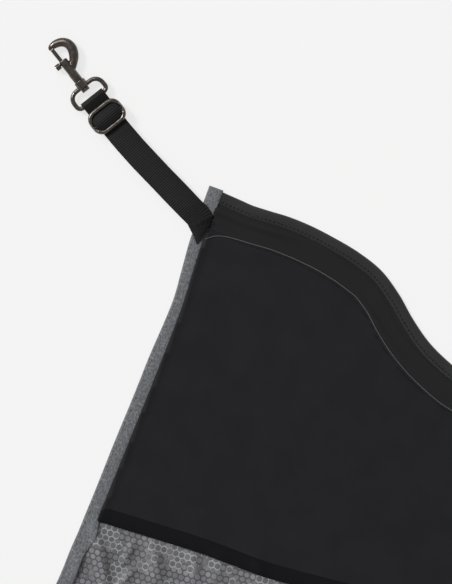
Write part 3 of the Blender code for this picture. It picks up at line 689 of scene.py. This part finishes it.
class Stitches:
    """Rows of short raised threads, gathered into one piece."""

    def __init__(self, name, material, slot):
        self.name, self.material, self.slot = name, material, slot
        self.points, self.faces, self.uvs = [], [], []

    def row(self, path, pitch, length, width=0.55 * MM, rise=0.22 * MM, slant=0.0):
        """Stitches along a 3D path on the cloth's surface."""
        path = np.asarray(path, float)
        at = arclength(path)
        for s in np.arange(pitch / 2, at[-1], pitch):
            middle = np.array([np.interp(s, at, path[:, c]) for c in range(3)])
            ahead = np.array([np.interp(min(s + 0.3 * pitch, at[-1]), at, path[:, c]) for c in range(3)])
            along = ahead - middle
            if np.linalg.norm(along) < 1e-7:
                continue
            along /= np.linalg.norm(along)
            side = np.cross((0, 0, 1), along)
            side /= np.linalg.norm(side)
            along, side = along + side * slant, side - along * slant
            base = len(self.points)
            for t, w, h in THREAD_STATIONS:
                for a in range(6):
                    angle = math.pi * a / 3
                    self.points.append(
                        middle
                        + along * (t * length / 2)
                        + side * (width / 2 * w * math.cos(angle))
                        + np.array((0, 0, rise * (h + 0.9 * w * math.sin(angle))))
                    )
                    self.uvs.append((s + t * length / 2, width * a / 6))
            for i in range(4):
                for j in range(6):
                    k = (j + 1) % 6
                    a, b = base + 6 * i, base + 6 * i + 6
                    self.faces.append((a + j, b + j, b + k, a + k))
            self.faces.append(tuple(base + j for j in range(6)))
            self.faces.append(tuple(base + 24 + j for j in range(6))[::-1])

    def done(self):
        return new_piece(self.name, self.points, self.faces, self.uvs, self.material)


def on_cloth(path, height):
    """A plan path lifted on to the cloth at a height over the folds."""
    path = np.asarray(path, float)
    return np.c_[path, height + lie(path)]


# The shell, its lining and trims

whole_neck = np.vstack([mirrored(NECK), NECK[1:]])
neck = smooth_path(whole_neck, 2.5 * MM)
closing = smooth_path(CLOSING, 2.5 * MM)
belly = smooth_path(BELLY, 5 * MM)
lining_edge = LINING_EDGE if LINING_EDGE[0, 1] < LINING_EDGE[-1, 1] else LINING_EDGE[::-1]
whole_edge = smooth_path(np.vstack([lining_edge, mirrored(lining_edge)[1:]]), 3 * MM)

half = np.vstack([smooth_path(NECK, 5 * MM), smooth_path(CLOSING, 5 * MM), smooth_path(BELLY, 8 * MM)[1:]])
half = np.vstack([half, [(REAR_X, 0)]])
shell_edge = np.vstack([half, mirrored(half)[1:-1]])
shell = cloth("shell", shell_edge, lambda p: SHELL_Z, 0.8 * MM, SHELL_CLOTH)
declare(shell_edge)
across_spine(shell, "shell")

closing_line = {RIGHT: closing, LEFT: mirrored(closing)}
belly_line = {RIGHT: belly, LEFT: mirrored(belly)}


def strip_narrowing(along):
    """How much narrower the closing strip lies below the strap."""
    return -2.3 * MM * np.exp(-(((along - 0.105) / 0.05) ** 2))


strip_edge = STRIP - 0.8 * MM + strip_narrowing(arclength(closing))
lining_front = closing + leftward(closing) * strip_edge[:, None]
lining_neck = inset(smooth_path(NECK, 4 * MM), FACING - 1.5 * MM)


def first_meeting(path, other):
    """(index along path, index along other) where two dense paths come closest."""
    gaps = np.linalg.norm(path[:, None] - other[None], axis=2)
    return np.unravel_index(int(np.argmin(gaps)), gaps.shape)


neck_stop, front_start = first_meeting(lining_neck, lining_front)
dense_edge = smooth_path(lining_edge, 4 * MM)
front_stop, edge_start = first_meeting(lining_front, dense_edge)
lining_half = np.vstack(
    [lining_neck[: neck_stop + 1], lining_front[front_start + 1 : front_stop], dense_edge[edge_start:]]
)
lining_half[0, 1] = lining_half[-1, 1] = 0
lining_loop = np.vstack([lining_half, mirrored(lining_half)[1:-1]])
if np.sum(np.cross(lining_loop, np.roll(lining_loop, -1, axis=0))) < 0:
    lining_loop = lining_loop[::-1]
front_lines = [lining_front, mirrored(lining_front)]


def lining_height(points):
    """The lining laps over the closing strips' inner edges."""
    edge = np.minimum(distance(points, front_lines[0]), distance(points, front_lines[1]))
    return LINING_Z + 1.3 * MM * (1 - smoothstep(edge / (7 * MM)))


lining = cloth("lining", lining_loop, lining_height, 0.7 * MM, LINING_CLOTH)
declare(lining_loop)
across_spine(lining, "lining")

roll_offsets = np.array([-0.4, 0.2, 1.5, 4, 7, 10, 12, 13.2, 13.8]) * MM
roll_heights = LINING_Z - 0.3 * MM + np.array([1.0, 1.5, 1.9, 2.0, 1.9, 1.6, 1.2, 0.7, 0.3]) * MM
# Its cloth is the lining's, painted darker: painted shade on the roll.
roll = band("lining_edge", whole_edge, roll_offsets, roll_heights, 0.6 * MM, ROLL_SHADED_LINING)
declare_band(whole_edge, ROLL)
across_spine(roll, "lining_roll")


def facing_folds(along, offset):
    """Soft folds that run with the neckline, deepest beside the stitching."""
    o = offset / MM
    s = along / MM
    first = 11.5 + 1.2 * np.sin(s / 31) + 0.8 * np.sin(s / 13 + 1)
    second = 20.0 + 3.0 * np.sin(s / 57 + 2)
    third = 28.0 + 2.5 * np.sin(s / 41 + 4)
    height = 0.9 * (0.6 + 0.4 * np.sin(s / 47)) * np.exp(-(((o - first - 3) / 2.6) ** 2))
    height -= 0.7 * (0.6 + 0.4 * np.sin(s / 35 + 2)) * np.exp(-(((o - first) / 1.0) ** 2))
    height += 1.1 * (0.5 + 0.5 * np.sin(s / 63 + 1)) * np.exp(-(((o - second) / 3.4) ** 2))
    height += 0.7 * (0.5 + 0.5 * np.sin(s / 39 + 3)) * np.exp(-(((o - third) / 2.4) ** 2))
    return 1.5 * height * MM * np.clip((36.5 - o) / 3, 0, 1) * np.clip((o - 7.5) / 3, 0, 1)


fine_neck = smooth_path(whole_neck, 0.8 * MM)


def past_edges(points):
    """How far plan points lie outside the nearer closing edge."""
    return np.maximum(*((points * (1, flip) - CLOSING[0]) @ CLOSING_OUTWARD for flip in (1, -1)))


def between_strips(points):
    """Which plan points lie on the inner side of both closing strips' inner edges."""
    return past_edges(points) < -(STRIP - 1.2 * MM)


def strip_lap(along, total):
    """1 at a neckline band's two ends, where it goes under the strips, and 0 further in."""
    return 1 - smoothstep((np.minimum(along, total - along) - 14 * MM) / (12 * MM))


neck_total = arclength(fine_neck)[-1]
facing_offsets = np.arange(7.5, 36.1, 1.1) * MM
facing = cut_band(
    "neck_facing", fine_neck, facing_offsets,
    FACING_Z + 0.45 * MM * np.clip((facing_offsets - 33 * MM) / (2 * MM), 0, 1),
    0.7 * MM, FACING_CLOTH, between_strips, facing_folds,
)
declare_band(neck, 36 * MM, near=7.5 * MM)
across_spine(facing, "neck_facing")


def binding_pucker(along, offset):
    """The tape gathers a little between its stitches, and lies flatter under the strips."""
    o = np.clip(offset / BINDING, 0, 1)
    pucker = 0.10 * MM * np.sin(along * 2 * math.pi / (2.7 * MM)) * o**2
    pucker = pucker + 0.12 * MM * np.sin(along / (9 * MM))
    return pucker - 1.2 * MM * strip_lap(along, neck_total) * math.sin(math.pi * o)


binding_offsets = np.array([-1.3, -1.1, -0.5, 0.6, 2.2, 4.0, 5.6, 6.8, 7.4, 8.0, 8.8, 9.2, 9.4]) * MM
binding_heights = np.array([0.6, 1.4, 2.4, 3.3, 4.0, 4.2, 4.1, 3.8, 3.4, 3.7, 3.7, 3.3, 2.6]) * MM
binding = cut_band(
    "neck_binding", fine_neck, binding_offsets, binding_heights, 0.8 * MM,
    BINDING_TAPE, between_strips, binding_pucker, step=0.9 * MM,
)
declare_band(neck, BINDING)
across_spine(binding, "neck_binding")

strip_offsets = np.array([-0.5, -0.3, 0.4, 2.0, 4.5, 7.5, 10.0, 11.6, 12.4, 12.8]) * MM
strip_heights = np.array([0.5, 1.1, 1.9, 2.3, 2.4, 2.4, 2.3, 2.1, 1.8, 1.2]) * MM
hem_offsets = np.array([-0.6, -0.3, 0.6, 3, 8, 13, 17, 19.2, 20, 20.3]) * MM
hem_heights = np.array([0.5, 1.1, 1.8, 2.1, 2.1, 2.1, 2.1, 1.9, 1.5, 1.2]) * MM
tape_offsets = np.array([0, 0.4, 2, 8, 11.7, 12, 12.3, 16, 22, 23.6, 24]) * MM
tape_heights = np.array([1.1, 1.5, 1.8, 1.9, 2.0, 2.2, 2.0, 1.9, 1.8, 1.5, 1.1]) * MM


def strip_waviness(along, offset):
    """Below the lining the tape's inner edge lifts and sinks; its top lies over the neckline's trims."""
    o = np.clip((offset - 3 * MM) / (9 * MM), 0, 1)
    loose = smoothstep((along - 0.325) / 0.02)
    waves = np.sin(along / (6.5 * MM)) + np.sin(along / (12 * MM) + 1) + 1.2
    waves = o * (0.08 + 0.92 * loose) * 1.0 * MM * waves
    return waves + 2.0 * MM * (1 - smoothstep((along - 14 * MM) / (22 * MM)))


def strip_spread(along, offset):
    """The tape's plan waviness, and the wider loose place below the lining's corner."""
    o = np.clip(offset / STRIP, 0, 1)
    loose = smoothstep((along - 0.325) / 0.02)
    wide = 3.4 * MM * np.exp(-(((along - 0.349) / (14 * MM)) ** 2)) * o
    wide = wide + strip_narrowing(along) * o
    wide = wide + 0.5 * MM * loose * np.sin(along / (7.5 * MM)) * (0.4 + o)
    return wide + 0.15 * MM * np.sin(along / (15 * MM))


for side, word in SIDES.items():
    line = closing_line[side]
    wavy, wide = strip_waviness, strip_spread
    if side == LEFT:
        whole = arclength(line)[-1]
        wavy = lambda along, offset, whole=whole: strip_waviness(whole - along, offset)
        wide = lambda along, offset, whole=whole: strip_spread(whole - along, offset)
    strip = band(
        f"front_strip_{word}", line, strip_offsets, strip_heights, 0.9 * MM,
        MELANGE_TAPE, ripple=wavy, spread=wide,
    )
    declare_band(line, STRIP)
    rigid(strip, f"sheet_{word}", f"closing_strip_{word}")

    line = belly_line[side]
    hem = band(f"hem_{word}", line, hem_offsets, hem_heights, 0.9 * MM, BINDING_TAPE)
    declare_band(line, HEM)
    rigid(hem, f"sheet_{word}", f"belly_hem_{word}")

rear_end = float(BELLY[-1, 1])
rear_line = np.c_[np.full(300, REAR_X), np.linspace(rear_end, -rear_end, 300)]
rear_hem = band("hem_rear", rear_line, hem_offsets, hem_heights, 0.9 * MM, BINDING_TAPE)
declare_band(rear_line, HEM)
across_spine(rear_hem, "rear_hem")

spine_from = float(LINING_EDGE[:, 0].max()) + 0.5 * MM
spine_line = np.c_[np.linspace(spine_from, REAR_X - HEM, 400), np.full(400, -SPINE_TAPE)]
tape = band("spine_tape", spine_line, tape_offsets, tape_heights, 0.7 * MM, BINDING_TAPE)
declare_band(spine_line, 2 * SPINE_TAPE)
across_spine(tape, "spine_tape")

# The line of grey thread where the facing meets the lining
seam = inset(neck, FACING - 2.3 * MM)
run = arclength(neck)
wander = 0.25 * MM * np.sin(run / (11 * MM)) + 0.08 * MM * np.sin(run / (4.3 * MM))
seam += leftward(neck) * wander[:, None]
seam = seam[past_edges(seam) < -58 * MM]
hook = ((53.0, 15.6), (38.5, 23.4), (29.4, 29.4), (24.9, 33.8), (22.4, 38.0), (20.2, 42.8))
hook_end = np.array([from_corner(*p) for p in hook])
seam = smooth_path(np.vstack([(hook_end * (1, -1))[::-1], seam, hook_end]), 1.5 * MM)
seam_line = tube("facing_seam", on_cloth(seam, LINING_Z + 1.25 * MM), 0.36 * MM, GREY_THREAD)
across_spine(seam_line)

# Webbing


def ribbon_section(half_width, half_thickness, rib):
    """A flat strap's section with round selvedges."""
    corner = 0.45 * MM
    points = []
    for cx, cy, first_angle in (
        (half_width - corner, half_thickness - corner, 0),
        (corner - half_width, half_thickness - corner, 90),
        (corner - half_width, corner - half_thickness, 180),
        (half_width - corner, corner - half_thickness, 270),
    ):
        sign = 1 if cy > 0 else -1
        for a in (0, 45, 90):
            angle = math.radians(first_angle + a)
            points.append((cx + corner * math.cos(angle), cy + corner * math.sin(angle) + sign * rib))
    return np.array(points)


def ribbed_strap(name, path, half_width, heading, turn_at=0.0, pitch=2.0 * MM, flip=0):
    """Webbing with ribs across it along a 3D path: square to the path up to turn_at, to heading beyond.
    With flip, its start is cut along a closing strip's inner edge: the right one at 1, the left one at -1.
    """
    thickness, depth = 1.4 * MM, 0.17 * MM
    path = smooth_path(path, 0.5 * MM)
    along = arclength(path)
    plan = np.gradient(path[:, :2], axis=0)
    plan /= np.maximum(np.linalg.norm(plan, axis=1), 1e-9)[:, None]
    turn = smoothstep((along - turn_at) / (20 * MM))[:, None]
    plan = np.where(turn >= 1, heading, plan * (1 - turn) + np.asarray(heading) * turn)
    if turn_at <= 0:
        plan = np.tile(heading, (len(path), 1)).astype(float)
    plan = unit(plan)
    sideways = np.c_[-plan[:, 1], plan[:, 0], np.zeros(len(path))]
    widths = half_width * (1 + 0.006 * np.sin(along / (7 * MM)))
    ribs = depth * (np.abs(np.sin(math.pi * along / pitch)) - 0.5)

    def profile(k):
        return ribbon_section(widths[k], thickness / 2, ribs[k])

    made = sweep(name, path, sideways, profile, WEBBING, along)
    if flip:
        points = np.array([v.co for v in made.data.vertices])
        past = (points[:, :2] * (1, flip) - CLOSING[0]) @ CLOSING_OUTWARD
        over = np.minimum(past + STRIP - 0.6 * MM, 0)
        points[:, :2] -= over[:, None] * (CLOSING_OUTWARD * (1, flip))
        made.data.vertices.foreach_set("co", points.ravel())
        made.data.update()
    return made


SLIDER_BACK = 20.4 * MM  # from the snap's bar to the middle of the slider
STRAP_Z = 6.7 * MM  # the middle of a strap's upper layer
BAR_Z = 5.8 * MM
LOOP = 3.3 * MM  # from a bar's centre to the middle of the webbing round it


def loop_round(bar, direction, upper_start, tail_end, flare, tail=()):
    """3D path out along a direction, round a bar and back beneath."""
    direction = np.asarray(direction, float)
    rise = STRAP_Z - BAR_Z
    path = [(-upper_start, rise)]
    if upper_start > flare:
        path.append((-flare, rise))
    for a in np.linspace(115, -115, 15):
        path.append((LOOP * math.cos(math.radians(a)), LOOP * math.sin(math.radians(a))))
    path += [(-flare, -rise), (-tail_end, -rise)]
    path = [np.array((bar[0] + direction[0] * x, bar[1] + direction[1] * x, BAR_Z + z)) for x, z in path]
    return path + [np.array((*p, BAR_Z - rise)) for p in tail]


def joint(name):
    return next(j for j in frame["joints"] if j["name"] == name)


def axis_point(name):
    return np.array(joint(name)["pos_m"], float)


def plan_axis(name):
    return np.array(joint(name)["axis"], float)[:2]


def square_to(axis, toward):
    """The plan direction square to an axis, on this side."""
    out = np.array((axis[1], -axis[0]))
    return out * np.sign(out @ toward)


bar = axis_point("snap_eye_tilt")
slide = plan_axis("chest_slider_slide")
outward = -slide / np.linalg.norm(slide)
sewn_end = ((23.5, 40.5), (15.3, 36.5), (8.0, 34.3), (1.5, 32.3))  # from under the lining, over the strip
plan = [from_corner(*p) for p in (*sewn_end, (-10, 32.0), (-35, 31.5), (-60, 31.0), (-84, 30.2))]
lead = [np.array((*p, z * MM)) for p, z in zip(plan, (3.7, 4.2, 4.4, 5.0, 6.2, 6.7, 6.7, 6.7))]
under = [from_corner(*p) for p in ((-84, 30.2), (-66, 30.8), (-55, 31.1))]
loop_path = loop_round(bar, outward, 42 * MM, 42 * MM, 7.6 * MM, tail=under)
turn_at = arclength(np.array(lead))[-1]
chest_strap = ribbed_strap("chest_webbing", [*lead, *loop_path], CHEST_HALF, outward, turn_at, flip=1)
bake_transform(chest_strap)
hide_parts("chest_strap", "chest_anchor_right")

# The hump of webbing in the slider's window, over its middle bar. It is made wider than the strap, out into the
# rails, so that dark webbing fills the window's sides where there is only shadow: a painted shadow.
window = bar[:2] - outward * SLIDER_BACK
hump = [(d, 8.25 + 2.0 * math.cos(math.radians(90 * d / 10)) ** 1.5) for d in np.linspace(-9.5, 9.5, 13)]
hump = [np.array((*(window + outward * d * MM), z * MM)) for d, z in hump]
slider_webbing = ribbed_strap("slider_webbing", hump, 14.3 * MM, outward)
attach(slider_webbing, "chest_slider")

# The ring tab, folded round the ring's bar
ring_bar = axis_point("chest_ring_swing")
ring_out = square_to(plan_axis("chest_ring_swing"), (-1, 0))
tab_plan = [from_corner(*p) * (1, -1) for p in sewn_end]
tab_lead = [np.array((*p, z * MM)) for p, z in zip(tab_plan, (3.5, 4.0, 4.2, 4.9))]
tab_loop = loop_round(ring_bar, ring_out, 14 * MM, 17 * MM, 9 * MM)
ring_webbing = ribbed_strap("ring_webbing", [*tab_lead, *tab_loop], CHEST_HALF, ring_out, 2 * MM, flip=-1)
rigid(ring_webbing, "sheet_left", "ring_tab", "ring_anchor_left")

# Belly surcingles
BELLY_RIB = 2.4 * MM
BELLY_ROUTE = (  # distance from the fold and height, in mm: sewn down, round the fold, and out above
    (60, 3.4), (30, 3.5), (18, 3.5), (7, 3.6),
    (2.4, 4.0), (0.9, 5.2), (2.4, 6.5), (8, 6.7), (20, 6.7), (45, 6.7),
)
SEWN = 4  # how many points of the route are sewn down
FOLD_TILT = 0.008  # the strap's weight rises with height, and slightly with distance, past the far end's loop
dark_right = Stitches("stitching_right", DARK_THREAD, "black_webbing")
dark_left = Stitches("stitching_left", DARK_THREAD, "black_webbing")


def box_stitch(stitches, corners, height):
    """A sewn box with a cross through it; corners are plan points."""
    a, b, c, d = (np.asarray(p, float) for p in corners)
    for start, end in ((a, b), (b, c), (c, d), (d, a), (a, c), (b, d)):
        line = np.linspace(start, end, 30)
        stitches.row(np.c_[line, height + lie(line)], 2.6 * MM, 2.0 * MM, 0.6 * MM, 0.2 * MM)


def sides_of(low, high, margin):
    """The four sides of a box in plan, this far inside it."""
    left, right, bottom, top = low.x + margin, high.x - margin, low.y + margin, high.y - margin
    loop = np.array([(left, bottom), (right, bottom), (right, top), (left, top)])
    return list(zip(loop, np.roll(loop, -1, axis=0)))


for name in SURCINGLES:
    for side, word in SIDES.items():
        kind = "strap" if side == RIGHT else "tab"
        node = f"surcingle_{kind}_{name}"
        fold_at = axis_point(f"surcingle_{kind}_{name}_fold")
        swing = "hook" if side == RIGHT else "plate"
        bar_at = axis_point(f"surcingle_{swing}_{name}_swing")
        heading = np.array((0.0, 1.0 if side == RIGHT else -1.0))
        x, y = fold_at[:2]
        route = [(x, y + heading[1] * d * MM, z * MM) for d, z in BELLY_ROUTE]
        tail = 190 * MM if side == RIGHT else 20 * MM
        loop = loop_round(bar_at, heading, 30 * MM, tail, 7.6 * MM if side == RIGHT else 12 * MM)
        path = [*(route if side == RIGHT else route[SEWN:]), *loop]
        belt = ribbed_strap(f"belly_{kind}_{name}", path, BELLY_HALF, heading, pitch=BELLY_RIB)
        if side == RIGHT:
            normal = np.array((0, FOLD_TILT, 1)) / math.hypot(1, FOLD_TILT)
            foot = np.array((x, y, 4.35 * MM))
            start, end = foot + normal * 0.4 * MM, foot + normal * 1.3 * MM
            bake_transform(belt)
            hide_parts(node, f"surcingle_anchor_{name}_{word}")
        else:
            rigid(belt, node, node)
            under = route[: SEWN + 1]
            sewn_base = ribbed_strap(f"belly_{kind}_base_{name}", under, BELLY_HALF, heading, pitch=BELLY_RIB)
            rigid(sewn_base, f"sheet_{word}", f"surcingle_anchor_{name}_{word}")
        low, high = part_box(f"surcingle_patch_{name}_{word}")
        dense = np.vstack([np.linspace(a, b, 24, endpoint=False) for a, b in sides_of(low, high, 0)])
        piece = f"patch_{name}_{word}"
        patch = cloth(piece, dense, lambda p: 2.0 * MM, 0.8 * MM, FACING_CLOTH)
        declare(dense)
        rigid(patch, f"sheet_{word}", f"surcingle_patch_{name}_{word}")
        stitches = dark_right if side == RIGHT else dark_left
        for a, b in sides_of(low, high, 3 * MM):
            line = np.linspace(a, b, 30)
            stitches.row(np.c_[line, 2.4 * MM + lie(line)], 3.2 * MM, 2.5 * MM)

# Stitching along the strips, hems and the lining's edge
for side, stitches in ((RIGHT, dark_right), (LEFT, dark_left)):
    line = closing_line[side]
    stitches.row(on_cloth(inset(line, 1.6 * MM), 2.65 * MM), 3.0 * MM, 2.3 * MM, 0.35 * MM, 0.08 * MM)
    line = belly_line[side]
    stitches.row(on_cloth(inset(line, 17.5 * MM), 2.45 * MM), 3.2 * MM, 2.5 * MM, 0.4 * MM, 0.12 * MM)
for stitches, flip in ((dark_right, 1), (dark_left, -1)):
    corners = [from_corner(*p) * (1, flip) for p in ((4.6, 21.8), (14.5, 26.5), (18.2, 46.5), (7.0, 42.2))]
    box_stitch(stitches, corners, 4.85 * MM)
for stitches, word in ((dark_right, "right"), (dark_left, "left")):
    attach(stitches.done(), f"sheet_{word}")

neck_stitches = Stitches("neck_stitching", DARK_THREAD, "binding_tape")
stitch_line = inset(fine_neck, 7.4 * MM)
stitch_line = stitch_line[between_strips(stitch_line)][::3]
neck_stitches.row(on_cloth(stitch_line, 4.3 * MM), 4.0 * MM, 2.6 * MM, 1.3 * MM, 0.3 * MM)
across_spine(neck_stitches.done())
edge_stitches = Stitches("lining_stitching", PALE_THREAD, "shell_cloth")
edge_line = on_cloth(inset(whole_edge[6:-6], -0.7 * MM), SHELL_Z + 0.7 * MM)
edge_stitches.row(edge_line, 3.2 * MM, 2.9 * MM, 0.7 * MM, 0.3 * MM)
across_spine(edge_stitches.done())

# Metal: softened copies of the CAD solids, so that edges catch the light as cast and bent metal does


def softened(node, name, body, voxel, rounds):
    mesh = bmesh.new()
    mesh.from_mesh(frame["nodes"][node].data)
    bmesh.ops.remove_doubles(mesh, verts=mesh.verts, dist=1e-6)
    data = bpy.data.meshes.new(name)
    mesh.to_mesh(data)
    mesh.free()
    made = placed(name, data)
    remesh = made.modifiers.new("remesh", "REMESH")
    remesh.mode = "VOXEL"
    remesh.voxel_size = voxel
    relax = made.modifiers.new("relax", "SMOOTH")
    relax.factor = 0.5
    relax.iterations = rounds
    graph = bpy.context.evaluated_depsgraph_get()
    data = bpy.data.meshes.new_from_object(made.evaluated_get(graph))
    made.modifiers.clear()
    made.data = data
    data.materials.clear()
    data.materials.append(GUNMETAL)
    data.shade_smooth()
    rigid(made, body, node)


for node, name, body, voxel, rounds in (
    ("snap_hook", "snap_hook_cast", "snap_hook", 0.35 * MM, 8),
    ("swivel_rivet", "swivel_rivet_cast", "snap_hook", 0.3 * MM, 3),
    ("snap_eye", "snap_eye_cast", "snap_eye", 0.35 * MM, 9),
    ("snap_bolt", "snap_bolt_cast", "snap_bolt", 0.3 * MM, 3),
    ("chest_slider", "chest_slider_wire", "chest_slider", 0.3 * MM, 10),
    ("chest_ring", "chest_ring_wire", "chest_ring", 0.4 * MM, 3),
):
    softened(node, name, body, voxel, rounds)
for name in SURCINGLES:
    for kind in ("hook", "plate", "slider"):
        node = f"surcingle_{kind}_{name}"
        softened(node, f"belly_{kind}_{name}", node, 0.55 * MM, 4)

# The floor, the lights and the camera

floor_mesh = bpy.data.meshes.new("floor")
floor_mesh.from_pydata([(-60, -60, 0), (60, -60, 0), (60, 60, 0), (-60, 60, 0)], [], [(0, 1, 2, 3)])
floor = placed("floor", floor_mesh)
floor.location.z = -0.3 * MM
paper = Nodes("floor_paper", (0.20, 0.20, 0.20), 1.0, specular_ior_level=0.0)
paper.set("Emission Color", (1.0, 1.0, 0.998, 1))
paper.set("Emission Strength", 0.725)
floor_mesh.materials.append(paper.material)

world = bpy.data.worlds.new("studio")
bpy.context.scene.world = world
world.use_nodes = True
tree = world.node_tree
background = tree.nodes["Background"]
direction = tree.nodes.new("ShaderNodeTexCoord").outputs["Generated"]
split = tree.nodes.new("ShaderNodeSeparateXYZ")
tree.links.new(direction, split.inputs[0])
ramp = tree.nodes.new("ShaderNodeValToRGB")
for stop, (position, grey) in zip(ramp.color_ramp.elements, ((0.0, 0.80), (0.9, 0.62))):
    stop.position = position
    stop.color = (grey, grey, grey, 1)
tree.links.new(split.outputs["Z"], ramp.inputs[0])
tree.links.new(ramp.outputs[0], background.inputs["Color"])
background.inputs["Strength"].default_value = 0.52

view_centre = Vector((*from_corner(69.1, 63.8), 0.0))
softbox_data = bpy.data.lights.new("top_softbox", "AREA")
softbox_data.shape = "SQUARE"
softbox_data.size = 1.2
softbox_data.energy = 22
softbox = placed("top_softbox", softbox_data)
softbox.location = view_centre + Vector((-2.4, 1.0, 3.4))
softbox.rotation_mode = "QUATERNION"
softbox.rotation_quaternion = (view_centre - softbox.location).to_track_quat("-Z", "Y")

sun_data = bpy.data.lights.new("key_sun", "SUN")
sun_data.energy = 2.1
sun_data.angle = math.radians(16)
sun = placed("key_sun", sun_data)
sun.rotation_mode = "QUATERNION"
sun.rotation_quaternion = Vector((1.0, 0.25, -0.95)).to_track_quat("-Z", "Y")

CAMERA_HEIGHT = 2.5
VIEW_HEIGHT = 0.549
camera_data = bpy.data.cameras.new("camera")
camera_data.sensor_width = 36
camera_data.lens = 36 * CAMERA_HEIGHT / VIEW_HEIGHT
camera_data.clip_end = 50
camera = placed("camera", camera_data)
camera.location = (view_centre[0], view_centre[1], CAMERA_HEIGHT)
camera.rotation_euler = (0, 0, math.radians(45))
bpy.context.scene.camera = camera
bpy.context.scene.view_settings.view_transform = "Standard"
